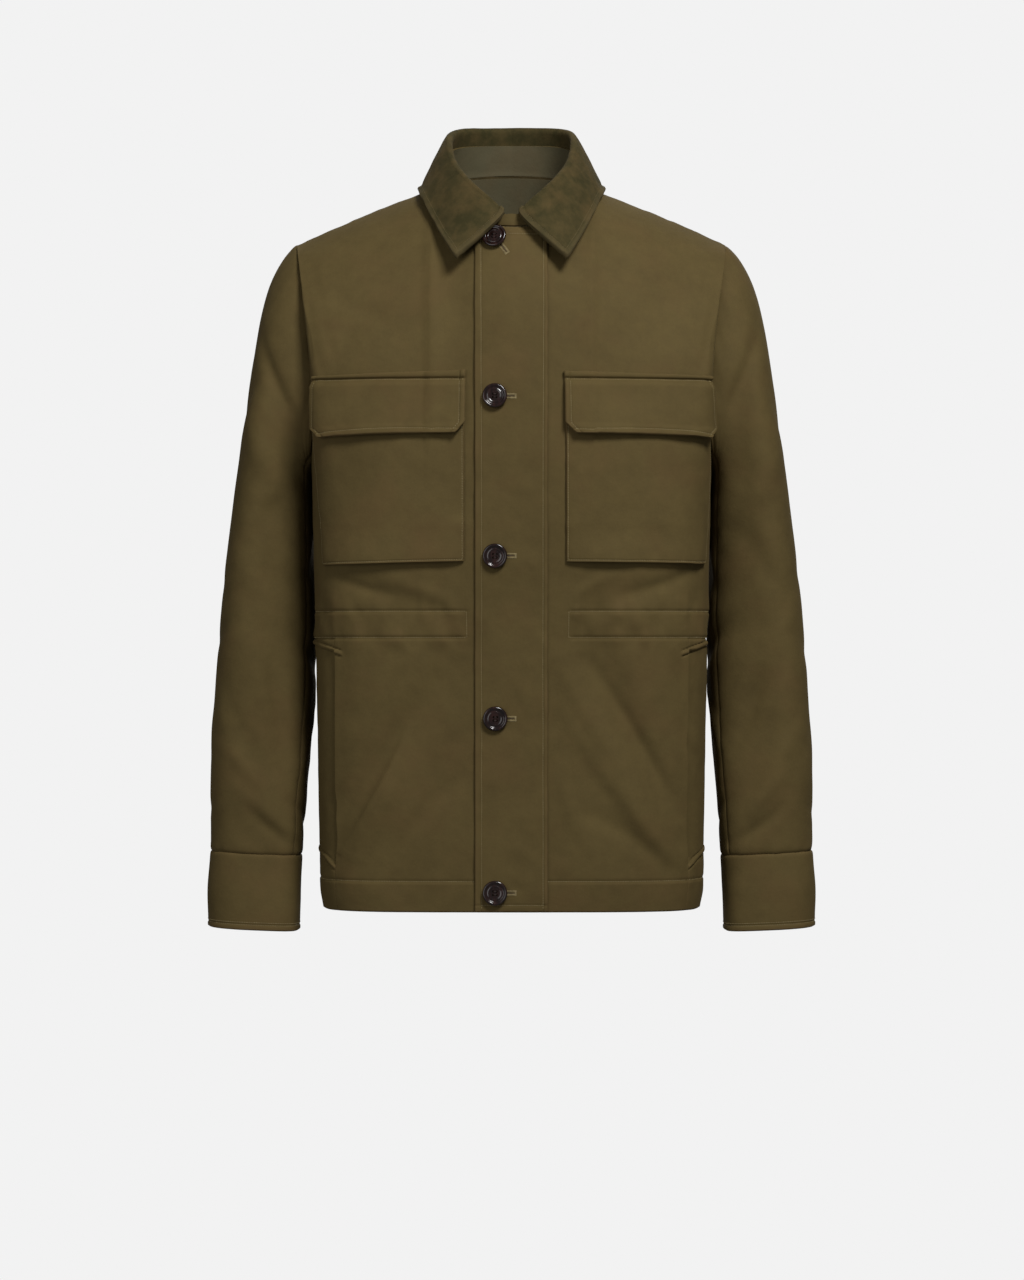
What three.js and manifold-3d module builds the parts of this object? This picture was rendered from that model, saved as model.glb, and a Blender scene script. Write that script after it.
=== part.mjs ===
// Field jacket, buttoned, holding the form of a wearer who isn't there.
// Millimetres. +X is the wearer's left, -Y the front, +Z up.
// The origin is the centre of the neck opening, level with the side neck points.
// Every cloth piece is a thin wall on one of three surfaces: torso, sleeve or collar.
import * as THREE from "three";
import { mergeVertices } from "three/addons/utils/BufferGeometryUtils.js";
import Module from "manifold-3d";

const wasm = await Module();
wasm.setup();

// Cloth walls
const WALL = 2;
const HEM_WALL = 3;
const COLLAR_WALL = 2.4;
const LINING_WALL = 1.4;
const GAP = 0.3;

// Torso: levels
const HEM_Z = -695;
const HEM_TURN_Z = -666;
const JOIN_Z = -330;
const CASING_LOW_Z = -437;
const CASING_TOP_Z = -412;

// Torso: shares of the quarter turn from the centre line to the side seam
const NECK_SHARE = 0.36;
const SHOULDER_SHARE = 0.57;
const POCKET_SHARE = 0.66;
const LAP_SHARE = 0.137;

// Torso: how square each horizontal section is
const FRONT_POWER = 4.3;
const BACK_POWER = 2.5;

// Half width, and depth from the side seam to the front and to the back, at each level
const TORSO = [
  { z: -695, width: 181, front: 123.5, back: 119 },
  { z: -676, width: 184.2, front: 124, back: 120 },
  { z: -600, width: 185.6, front: 123.5, back: 120 },
  { z: -500, width: 187.2, front: 122, back: 117 },
  { z: -430, width: 189, front: 122, back: 114 },
  { z: -350, width: 190.5, front: 125.5, back: 117 },
  { z: -330, width: 191.3, front: 126.5, back: 118.5 },
];

// Neck ring
const NECK_HALF_WIDTH = 79;
const NECK_SIDE_Y = 6;
const NECK_FRONT = { y: -80, z: -45, lean: 0.5, bend: 5 };
const NECK_BACK = { y: 70, z: 21, lean: 0.32, bend: 7 };
const SHOULDER_LEAN = 0.925;
const SHOULDER_BULGE = 1.8;

// Armhole of the wearer's left side, from the shoulder point over the front and round.
// lean: how far the torso leans towards the shoulder there.
// goX, goY, goZ: the way the sleeve sets off.
const ARMHOLE = [
  { turn: 0, x: 208.4, y: 6, z: -53.6, lean: 0.925, goX: 0.76, goY: 0, goZ: -0.65 },
  { turn: 35, x: 200, y: -38, z: -95, lean: 0.75, goX: 0.85, goY: -0.25, goZ: -0.45 },
  { turn: 75, x: 190.5, y: -60, z: -175, lean: 0.45, goX: 0.8, goY: -0.3, goZ: -0.5 },
  { turn: 115, x: 190, y: -58, z: -235, lean: 0.32, goX: 0.7, goY: -0.25, goZ: -0.65 },
  { turn: 148, x: 192, y: -35, z: -265, lean: 0.15, goX: 0.5, goY: -0.1, goZ: -0.85 },
  { turn: 180, x: 194, y: 2, z: -275, lean: 0, goX: 0.4, goY: 0, goZ: -0.92 },
  { turn: 212, x: 197, y: 38, z: -265, lean: 0.15, goX: 0.5, goY: 0.1, goZ: -0.85 },
  { turn: 245, x: 199, y: 60, z: -225, lean: 0.3, goX: 0.7, goY: 0.25, goZ: -0.65 },
  { turn: 285, x: 201, y: 62, z: -160, lean: 0.42, goX: 0.8, goY: 0.3, goZ: -0.5 },
  { turn: 325, x: 205, y: 45, z: -95, lean: 0.75, goX: 0.85, goY: 0.25, goZ: -0.45 },
];

// Sleeve sections: the outermost point, the innermost point, and the depths before and behind.
// along: share of the way from the armhole to the cuff seam, which is 1.
const SLEEVE = [
  { along: 0.2, outX: 250.6, outY: 4, outZ: -168, inX: 196, inY: 16, inZ: -284, front: 71, back: 72 },
  { along: 0.28, outX: 255.8, outY: 0, outZ: -205, inX: 195.5, inY: 26, inZ: -300, front: 73, back: 74 },
  { along: 0.36, outX: 261, outY: -3, outZ: -243, inX: 194, inY: 30, inZ: -322, front: 73, back: 74 },
  { along: 0.48, outX: 269.8, outY: -5, outZ: -309, inX: 192.8, inY: 32, inZ: -362, front: 70, back: 71 },
  { along: 0.6, outX: 278, outY: -5, outZ: -376, inX: 191.6, inY: 30, inZ: -412, front: 66, back: 67 },
  { along: 0.72, outX: 284, outY: -7, outZ: -443, inX: 191.6, inY: 24, inZ: -467, front: 62, back: 63 },
  { along: 0.82, outX: 288.2, outY: -10, outZ: -508, inX: 194.2, inY: 14, inZ: -522, front: 57, back: 58 },
  { along: 0.91, outX: 290.8, outY: -15, outZ: -574, inX: 198.6, inY: 2, inZ: -582, front: 50, back: 51 },
  { along: 1, outX: 290.6, outY: -19, outZ: -641.5, inX: 203, inY: -10, inZ: -646, front: 42, back: 42 },
  { along: 1.06, outX: 293, outY: -23, outZ: -679, inX: 204.6, inY: -16, inZ: -683, front: 41, back: 41 },
  { along: 1.12, outX: 292, outY: -25, outZ: -714.5, inX: 205.6, inY: -20, inZ: -718.5, front: 40, back: 40 },
];
const SLEEVE_POWER = 2.3;
const CUFF_END = 1.12;

// Collar: top of the fold and outer edge of the leaf, from the centre front round to the back.
const COLLAR = [
  { turn: 0, foldX: 0, foldY: -77.5, foldZ: -28, edgeX: 45, edgeY: -104, edgeZ: -74 },
  { turn: 5, foldX: 7, foldY: -77, foldZ: -31, edgeX: 52.5, edgeY: -107, edgeZ: -77 },
  { turn: 18, foldX: 18, foldY: -73, foldZ: -19, edgeX: 60, edgeY: -95, edgeZ: -67 },
  { turn: 32, foldX: 29.5, foldY: -66, foldZ: -8, edgeX: 67, edgeY: -80, edgeZ: -55 },
  { turn: 45, foldX: 40, foldY: -55, foldZ: 4, edgeX: 75, edgeY: -61, edgeZ: -39 },
  { turn: 68, foldX: 51, foldY: -30, foldZ: 22, edgeX: 86, edgeY: -30, edgeZ: -15 },
  { turn: 90, foldX: 55.5, foldY: -4, foldZ: 42, edgeX: 91, edgeY: 3, edgeZ: -2.5 },
  { turn: 112, foldX: 54, foldY: 19, foldZ: 55, edgeX: 87, edgeY: 38, edgeZ: 1 },
  { turn: 135, foldX: 45, foldY: 39, foldZ: 62, edgeX: 67, edgeY: 66, edgeZ: 3 },
  { turn: 158, foldX: 25, foldY: 54, foldZ: 65.5, edgeX: 36, edgeY: 85, edgeZ: 5 },
  { turn: 180, foldX: 0, foldY: 60, foldZ: 66.5, edgeX: 0, edgeY: 91, edgeZ: 6 },
];
// How far the leaf cloth reaches down inside the fold, the radius of the fold,
// and how far the leaf stands out before it turns down.
const COLLAR_ROLL = [
  { turn: 0, roll: 0, radius: 0.5, puff: 1.2 },
  { turn: 5, roll: 0.6, radius: 2.8, puff: 1.2 },
  { turn: 18, roll: 2, radius: 3.4, puff: 1 },
  { turn: 32, roll: 4, radius: 3.8, puff: 0.7 },
  { turn: 45, roll: 6, radius: 4, puff: 0.45 },
  { turn: 68, roll: 9, radius: 4, puff: 0.3 },
  { turn: 90, roll: 12, radius: 4, puff: 0.25 },
  { turn: 112, roll: 13, radius: 4, puff: 0.25 },
  { turn: 135, roll: 13, radius: 4, puff: 0.25 },
  { turn: 158, roll: 13, radius: 4, puff: 0.25 },
  { turn: 180, roll: 13, radius: 4, puff: 0.25 },
];
const COLLAR_START = 5;

// Placket, in the front view
const PLACKET = { left: -34.5, right: 34, top: -47.5, bottom: -694.4 };
const PLACKET_LIFT = 0.7;

// Rows of each patch in the front view: outer end, inner end, and the lift off the torso.
const FLAP_RIGHT = [
  { outX: -187, outZ: -189.5, inX: -42.6, inZ: -185.2, lift: 1.3 },
  { outX: -187, outZ: -193, inX: -42.6, inZ: -193, lift: 1.3 },
  { outX: -187, outZ: -200, inX: -42.9, inZ: -200, lift: 4.4 },
  { outX: -184.5, outZ: -238, inX: -43.3, inZ: -235, lift: 4.8 },
  { outX: -176.5, outZ: -248, inX: -52.2, inZ: -245.4, lift: 5 },
];
const FLAP_LEFT = [
  { outX: 188, outZ: -189, inX: 48.4, inZ: -186, lift: 1.3 },
  { outX: 188, outZ: -193, inX: 49.2, inZ: -193, lift: 1.3 },
  { outX: 188, outZ: -200, inX: 49.5, inZ: -200, lift: 4.4 },
  { outX: 187.3, outZ: -238, inX: 50, inZ: -235.6, lift: 4.8 },
  { outX: 180, outZ: -247.5, inX: 60.4, inZ: -246, lift: 5 },
];
const POCKET_RIGHT = [
  { outX: -186, outZ: -203, inX: -44.4, inZ: -203, lift: 1.3 },
  { outX: -186.5, outZ: -250, inX: -44.4, inZ: -250, lift: 1.3 },
  { outX: -182, outZ: -300, inX: -44.4, inZ: -300, lift: 1.3 },
  { outX: -179, outZ: -335, inX: -44.4, inZ: -335, lift: 1.3 },
  { outX: -177.8, outZ: -368, inX: -44.4, inZ: -365, lift: 1.3 },
];
const POCKET_LEFT = [
  { outX: 186.5, outZ: -203, inX: 51.2, inZ: -203, lift: 1.3 },
  { outX: 187, outZ: -250, inX: 51.2, inZ: -250, lift: 1.3 },
  { outX: 186.5, outZ: -300, inX: 51.4, inZ: -300, lift: 1.3 },
  { outX: 185.5, outZ: -335, inX: 51.4, inZ: -335, lift: 1.3 },
  { outX: 183, outZ: -366.5, inX: 51.4, inZ: -365.5, lift: 1.3 },
];

// Buttons down the placket: height, and tilt about the vertical and the sideways axis in degrees
const BUTTON_X = -15.5;
const BUTTONS = [
  { z: -57, swing: -3, nod: 3 },
  { z: -210, swing: 2, nod: -2 },
  { z: -360, swing: -2, nod: 2 },
  { z: -513, swing: 1, nod: 3 },
  { z: -676.5, swing: 2, nod: -3 },
];
const BUTTON_PROFILE = [
  { r: 0, z: 0 },
  { r: 8, z: 0 },
  { r: 10.9, z: 1.1 },
  { r: 11.7, z: 2.5 },
  { r: 11.4, z: 3.7 },
  { r: 10.3, z: 4.3 },
  { r: 9, z: 3.9 },
  { r: 8.1, z: 3.1 },
  { r: 0, z: 2.9 },
];
const BUTTON_SEAT_RADIUS = 8;
const BUTTON_HOLE_RADIUS = 1.05;
const BUTTON_HOLE_REACH = 2.2;
const BUTTON_LIFT = 2.95;

// Largest folds of the torso in the front view: from (x0, z0) to (x1, z1), half width, height.
const FRONT_FOLDS = [
  { x0: -99, z0: -495, x1: -165, z1: -640, w: 11, h: -3.4 },
  { x0: -74, z0: -492, x1: -150, z1: -640, w: 13, h: 3.2 },
  { x0: -48, z0: -450, x1: -112, z1: -556, w: 17, h: -3.6 },
  { x0: 74, z0: -440, x1: 158, z1: -620, w: 17, h: -4 },
  { x0: 46, z0: -458, x1: 158, z1: -660, w: 14, h: 3.6 },
  { x0: -160, z0: -385, x1: -80, z1: -405, w: 12, h: -2 },
  { x0: 160, z0: -385, x1: 80, z1: -405, w: 12, h: -2 },
];
const BACK_FOLDS = [
  { x0: -70, z0: -452, x1: -150, z1: -640, w: 17, h: -4 },
  { x0: 60, z0: -452, x1: 140, z1: -620, w: 18, h: -4 },
  { x0: -20, z0: -450, x1: -34, z1: -640, w: 20, h: 3.4 },
  { x0: -165, z0: -150, x1: -110, z1: -300, w: 18, h: 4 },
  { x0: 165, z0: -150, x1: 112, z1: -290, w: 18, h: 4 },
];
// Largest folds of the sleeves: side is -1 for the wearer's right, face is -1 for the front.
const SLEEVE_FOLDS = [
  { side: -1, face: -1, x0: -240, z0: -160, x1: -208, z1: -246, w: 11, h: -4 },
  { side: -1, face: -1, x0: -262, z0: -420, x1: -214, z1: -540, w: 13, h: 3 },
  { side: -1, face: -1, x0: -230, z0: -505, x1: -206, z1: -592, w: 10, h: -4 },
  { side: -1, face: -1, x0: -260, z0: -582, x1: -206, z1: -630, w: 8, h: 3 },
  { side: 1, face: -1, x0: 238, z0: -150, x1: 206, z1: -240, w: 12, h: -4 },
  { side: 1, face: -1, x0: 272, z0: -430, x1: 218, z1: -520, w: 13, h: -3 },
  { side: 1, face: -1, x0: 266, z0: -560, x1: 212, z1: -622, w: 9, h: 3 },
  { side: -1, face: 1, x0: -262, z0: -380, x1: -206, z1: -410, w: 10, h: -4 },
  { side: -1, face: 1, x0: -262, z0: -440, x1: -206, z1: -430, w: 10, h: -4 },
  { side: 1, face: 1, x0: 266, z0: -370, x1: 208, z1: -404, w: 10, h: -4 },
  { side: 1, face: 1, x0: 262, z0: -446, x1: 206, z1: -430, w: 10, h: -4 },
];

// Vectors are arrays of three numbers.
const add = (a, b) => [a[0] + b[0], a[1] + b[1], a[2] + b[2]];
const sub = (a, b) => [a[0] - b[0], a[1] - b[1], a[2] - b[2]];
const scale = (a, k) => [a[0] * k, a[1] * k, a[2] * k];
const dot = (a, b) => a[0] * b[0] + a[1] * b[1] + a[2] * b[2];
const size = (a) => Math.hypot(a[0], a[1], a[2]);
const unit = (a) => scale(a, 1 / (size(a) || 1));
const mix = (a, b, k) => add(scale(a, 1 - k), scale(b, k));
const mirror = (a) => [-a[0], a[1], a[2]];
const cross = (a, b) => [
  a[1] * b[2] - a[2] * b[1],
  a[2] * b[0] - a[0] * b[2],
  a[0] * b[1] - a[1] * b[0],
];
const rad = (degrees) => (degrees * Math.PI) / 180;

// Smooth curve through one column of a table over its key column.
function smooth(rows, key, column) {
  const xs = rows.map((row) => row[key]);
  const ys = rows.map((row) => row[column]);
  const last = xs.length - 1;
  const slopes = xs.map((x, i) => {
    const a = Math.max(i - 1, 0);
    const b = Math.min(i + 1, last);
    return (ys[b] - ys[a]) / (xs[b] - xs[a]);
  });
  return (x) => {
    let i = 0;
    while (i < last - 1 && x > xs[i + 1]) i += 1;
    const span = xs[i + 1] - xs[i];
    const k = Math.min(Math.max((x - xs[i]) / span, 0), 1);
    const k2 = k * k;
    const k3 = k2 * k;
    return (
      (2 * k3 - 3 * k2 + 1) * ys[i] +
      (k3 - 2 * k2 + k) * span * slopes[i] +
      (3 * k2 - 2 * k3) * ys[i + 1] +
      (k3 - k2) * span * slopes[i + 1]
    );
  };
}

// The same for several columns, as an array.
function smoothRow(rows, key, columns) {
  const curves = columns.map((column) => smooth(rows, key, column));
  return (x) => curves.map((curve) => curve(x));
}

// Cubic from a to b that leaves along da and arrives along db.
function hermite(a, b, da, db, k) {
  const k2 = k * k;
  const k3 = k2 * k;
  const ends = add(scale(a, 2 * k3 - 3 * k2 + 1), scale(b, 3 * k2 - 2 * k3));
  return add(ends, add(scale(da, k3 - 2 * k2 + k), scale(db, k3 - k2)));
}

const torsoAt = smoothRow(TORSO, "z", ["width", "front", "back"]);
const around = [
  { ...ARMHOLE[ARMHOLE.length - 1], turn: ARMHOLE[ARMHOLE.length - 1].turn - 360 },
  ...ARMHOLE,
  { ...ARMHOLE[0], turn: 360 },
  { ...ARMHOLE[1], turn: ARMHOLE[1].turn + 360 },
];
const armholeAt = smoothRow(around, "turn", ["x", "y", "z"]);
const armholeLean = smooth(around, "turn", "lean");
const sleeveStart = smoothRow(around, "turn", ["goX", "goY", "goZ"]);
const outerAt = smoothRow(SLEEVE, "along", ["outX", "outY", "outZ"]);
const innerAt = smoothRow(SLEEVE, "along", ["inX", "inY", "inZ"]);
const sleeveFront = smooth(SLEEVE, "along", "front");
const sleeveBack = smooth(SLEEVE, "along", "back");
const foldTop = smoothRow(COLLAR, "turn", ["foldX", "foldY", "foldZ"]);
const leafEdge = smoothRow(COLLAR, "turn", ["edgeX", "edgeY", "edgeZ"]);
const rollDepth = smooth(COLLAR_ROLL, "turn", "roll");
const rollRadius = smooth(COLLAR_ROLL, "turn", "radius");
const leafPuff = smooth(COLLAR_ROLL, "turn", "puff");

// Height of a list of folds at a place in the front or back view.
function foldHeight(folds, x, z) {
  let height = 0;
  for (const f of folds) {
    const dx = f.x1 - f.x0;
    const dz = f.z1 - f.z0;
    const share = ((x - f.x0) * dx + (z - f.z0) * dz) / (dx * dx + dz * dz);
    const k = Math.min(Math.max(share, 0), 1);
    const off = Math.hypot(x - f.x0 - k * dx, z - f.z0 - k * dz) / f.w;
    height += f.h * Math.exp(-off * off) * (0.35 + 0.65 * Math.sin(Math.PI * k));
  }
  return height;
}

// Horizontal section of the torso below the armholes.
function torsoRing(front, share, z) {
  const angle = (share * Math.PI) / 2;
  const [width, ahead, behind] = torsoAt(z);
  const depth = front ? ahead : behind;
  const power = front ? FRONT_POWER : BACK_POWER;
  const s = Math.sin(angle);
  const c = Math.max(Math.cos(angle), 0);
  const r = 1 / ((Math.abs(s) / width) ** power + (c / depth) ** power) ** (1 / power);
  return [r * s, (front ? -1 : 1) * r * c, z];
}

// Turn round the neck ring, 0 at its front or back centre and 90 at the side, for a share.
function neckTurn(share) {
  const ratio = Math.tan(rad(share * 90)) / Math.tan(rad(NECK_SHARE * 90));
  return Math.asin(Math.min(ratio, 1));
}

// Point of the neck ring. turn is in radians from the centre of that half.
function neckPoint(front, turn) {
  const mid = front ? NECK_FRONT : NECK_BACK;
  const c = Math.cos(turn);
  const x = NECK_HALF_WIDTH * Math.sin(turn);
  return [x, NECK_SIDE_Y + (mid.y - NECK_SIDE_Y) * c, mid.z * c];
}

const SHOULDER_NECK = neckPoint(true, Math.PI / 2);
const SHOULDER_POINT = armholeAt(0);

// Turn round the armhole for a share beyond the shoulder point.
function armholeTurn(front, share) {
  const turn = ((share - SHOULDER_SHARE) / (1 - SHOULDER_SHARE)) * 180;
  return front ? turn : 360 - turn;
}

// Top edge of the torso on the +X side, and how far the cloth leans back over it.
function torsoTop(front, share) {
  if (share <= NECK_SHARE) {
    const turn = neckTurn(share);
    const { lean, bend } = front ? NECK_FRONT : NECK_BACK;
    const k = (share / NECK_SHARE) ** bend;
    return { point: neckPoint(front, turn), lean: lean + (SHOULDER_LEAN - lean) * k };
  }
  if (share <= SHOULDER_SHARE) {
    const k = (share - NECK_SHARE) / (SHOULDER_SHARE - NECK_SHARE);
    const bulge = [0, 0, SHOULDER_BULGE * Math.sin(Math.PI * k)];
    return { point: add(mix(SHOULDER_NECK, SHOULDER_POINT, k), bulge), lean: SHOULDER_LEAN };
  }
  const turn = armholeTurn(front, share);
  return { point: armholeAt(turn), lean: armholeLean(turn) };
}

// Smooth torso. share runs from -1 to 1 across a half, rise from 0 at the hem to 1 and on to 2 on top.
function torsoBase(front, share, rise) {
  if (rise <= 1) return torsoRing(front, share, HEM_Z + (JOIN_Z - HEM_Z) * rise);
  const side = share < 0 ? -1 : 1;
  const start = torsoRing(front, Math.abs(share), JOIN_Z);
  const { point, lean } = torsoTop(front, Math.abs(share));
  const reach = size(sub(point, start));
  const leave = [0, 0, reach];
  const arrive = scale([0, front ? lean : -lean, Math.sqrt(1 - lean * lean)], reach);
  const p = hermite(start, point, leave, arrive, rise - 1);
  return side < 0 ? mirror(p) : p;
}

// Outward direction of a surface given as a function of two numbers.
function normalOf(surface, a, b, sign, stepA = 0.004, stepB = 0.004) {
  const da = sub(surface(a + stepA, b), surface(a - stepA, b));
  const db = sub(surface(a, b + stepB), surface(a, b - stepB));
  return scale(unit(cross(da, db)), sign);
}

// Keeps the differences of normalOf inside the surface.
function within(value, low, high) {
  return Math.min(Math.max(value, low), high);
}

function torsoBaseNormal(front, share, rise) {
  const base = (a, b) => torsoBase(front, a, b);
  const sign = front ? 1 : -1;
  return normalOf(base, within(share, -0.995, 0.995), within(rise, 0.005, 1.99), sign);
}

// Torso with its folds.
function torso(front, share, rise) {
  const p = torsoBase(front, share, rise);
  const height = foldHeight(front ? FRONT_FOLDS : BACK_FOLDS, p[0], p[2]);
  const fade = Math.min(1, (1 - Math.abs(share)) / 0.2);
  return add(p, scale(torsoBaseNormal(front, share, rise), height * fade));
}

function torsoNormal(front, share, rise) {
  const skin = (a, b) => torso(front, a, b);
  const sign = front ? 1 : -1;
  return normalOf(skin, within(share, -0.995, 0.995), within(rise, 0.005, 1.99), sign, 0.01, 0.01);
}

// Sleeve section on the +X side. turn is 0 outermost, 90 in front, 180 innermost.
function sleeveRing(along, turn) {
  const out = outerAt(along);
  const inn = innerAt(along);
  const c = Math.cos(rad(turn));
  const s = Math.sin(rad(turn));
  const r = 1 / (Math.abs(c) ** SLEEVE_POWER + Math.abs(s) ** SLEEVE_POWER) ** (1 / SLEEVE_POWER);
  const depth = s > 0 ? sleeveFront(along) : sleeveBack(along);
  const across = scale(sub(out, inn), 0.5 * r * c);
  return add(add(mix(out, inn, 0.5), across), [0, -depth * r * s, 0]);
}

// Smooth sleeve: the armhole ring carried over the sleeve head into the first section.
function sleeveBase(along, turn) {
  const first = SLEEVE[0].along;
  if (along >= first) return sleeveRing(along, turn);
  const start = armholeAt(turn);
  const end = sleeveRing(first, turn);
  const reach = size(sub(end, start));
  const leave = scale(unit(sleeveStart(turn)), reach);
  const arrive = scale(unit(sub(sleeveRing(first + 0.02, turn), end)), reach);
  return hermite(start, end, leave, arrive, along / first);
}

function sleeveBaseNormal(along, turn) {
  const base = (a, b) => sleeveBase(a, (b + 360) % 360);
  return normalOf(base, within(along, 0.012, CUFF_END - 0.006), turn, -1, 0.006, 1.5);
}

// Sleeve with its folds, on either side.
function sleeve(side, along, turn) {
  const p = sleeveBase(along, turn);
  const face = turn < 180 ? -1 : 1;
  const folds = SLEEVE_FOLDS.filter((f) => f.side === side && f.face === face);
  const fade = Math.sin(rad(turn)) ** 2 * Math.min(1, along / 0.1);
  const height = foldHeight(folds, side * p[0], p[2]) * (along > 1 ? 0 : 1);
  const q = add(p, scale(sleeveBaseNormal(along, turn), height * fade));
  return side < 0 ? mirror(q) : q;
}

function sleeveNormal(side, along, turn) {
  const skin = (a, b) => sleeve(side, a, (b + 360) % 360);
  return normalOf(skin, within(along, 0.012, CUFF_END - 0.006), turn, -side, 0.006, 1.5);
}

// Direction shared by torso and sleeve where they are sewn, pointing inside.
function armholeInward(side, turn) {
  const front = turn <= 180;
  const t = front ? turn : 360 - turn;
  const share = SHOULDER_SHARE + (t / 180) * (1 - SHOULDER_SHARE);
  const torsoOut = torsoBaseNormal(front, side * within(share, SHOULDER_SHARE + 0.01, 0.99), 1.96);
  const sleeveOut = sleeveBaseNormal(0.02, turn);
  const out = add(torsoOut, side < 0 ? mirror(sleeveOut) : sleeveOut);
  return scale(unit(out), -1);
}

// Point of the neck ring for a turn in degrees from the centre front.
function neckRing(turn) {
  return turn <= 90 ? neckPoint(true, rad(turn)) : neckPoint(false, rad(180 - turn));
}

// Frame of the collar at a turn: its root, the top of the stand, and the ways up and out.
function collarFrame(turn) {
  const root = neckRing(turn);
  const top = foldTop(turn);
  const up = unit(sub(top, root));
  const tangent = unit(sub(foldTop(Math.min(turn + 2, 180)), foldTop(Math.max(turn - 2, 0))));
  const sideways = cross(up, tangent);
  const centre = [0, -5, top[2]];
  const sign = dot(sideways, sub(top, centre)) < 0 ? -1 : 1;
  const out = scale(unit(sideways), sign);
  const radius = rollRadius(turn);
  const crest = sub(top, scale(up, radius));
  const seam = sub(crest, scale(up, rollDepth(turn)));
  return { root, up, out, radius, crest, seam };
}

// Leaf of the collar across its width: inside the fold, over the roll, down to the edge.
function leafBase(turn, across) {
  const { up, out, radius, crest, seam } = collarFrame(turn);
  if (across < 0.2) return mix(seam, crest, across / 0.2);
  const middle = add(crest, scale(out, radius));
  if (across < 0.4) {
    const angle = ((across - 0.2) / 0.2) * Math.PI;
    const round = add(scale(out, -Math.cos(angle) * radius), scale(up, Math.sin(angle) * radius));
    return add(middle, round);
  }
  const start = add(crest, scale(out, 2 * radius));
  const end = leafEdge(turn);
  const reach = size(sub(end, start));
  const leave = scale(unit(add(scale(up, -1), scale(out, leafPuff(turn)))), reach * 0.7);
  const arrive = scale(unit(sub(end, start)), reach * 0.7);
  return hermite(start, end, leave, arrive, (across - 0.4) / 0.6);
}

// Leaf on both sides: turn runs on past the centre back to the other end.
function leaf(turn, across) {
  return turn <= 180 ? leafBase(turn, across) : mirror(leafBase(360 - turn, across));
}

function leafNormal(turn, across) {
  const t = within(turn, COLLAR_START + 1.5, 360 - COLLAR_START - 1.5);
  return normalOf(leaf, t, within(across, 0.012, 0.988), -1, 1.5, 0.01);
}

// Stand of the collar from the neck ring up to the leaf seam.
function standBase(turn, up) {
  const { root, seam } = collarFrame(turn);
  return mix(root, seam, up);
}

function stand(turn, up) {
  return turn <= 180 ? standBase(turn, up) : mirror(standBase(360 - turn, up));
}

function standNormal(turn, up) {
  const ring = (t, u) => stand((t + 360) % 360, u);
  return normalOf(ring, turn, within(up, 0.02, 0.98), 1, 1.5, 0.02);
}

// Share and rise of the torso front that lie at (x, z) in the front view.
function findOnFront(x, z) {
  let share = Math.atan(x / 126) / (Math.PI / 2);
  let rise = z < JOIN_Z ? (z - HEM_Z) / (JOIN_Z - HEM_Z) : 1 + (z - JOIN_Z) / -(JOIN_Z + 40);
  for (let i = 0; i < 12; i += 1) {
    const p = torsoBase(true, share, rise);
    const e = 0.002;
    const ds = scale(sub(torsoBase(true, share + e, rise), p), 1 / e);
    const dr = scale(sub(torsoBase(true, share, rise + e), p), 1 / e);
    const det = ds[0] * dr[2] - ds[2] * dr[0];
    const ex = x - p[0];
    const ez = z - p[2];
    share += within((ex * dr[2] - ez * dr[0]) / det, -0.1, 0.1);
    rise += within((ez * ds[0] - ex * ds[2]) / det, -0.2, 0.2);
    rise = within(rise, 0, 1.998);
    share = within(share, -0.97, 0.97);
  }
  return { share, rise };
}

// Point on the torso front at (x, z), moved out by a lift.
function onFront(x, z, lift) {
  const { share, rise } = findOnFront(x, z);
  return add(torso(true, share, rise), scale(torsoNormal(true, share, rise), lift));
}

// Moves an end point of a row of the grid towards the next one.
function pulled(point, next, distance) {
  return add(point, scale(unit(sub(next, point)), distance));
}

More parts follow.
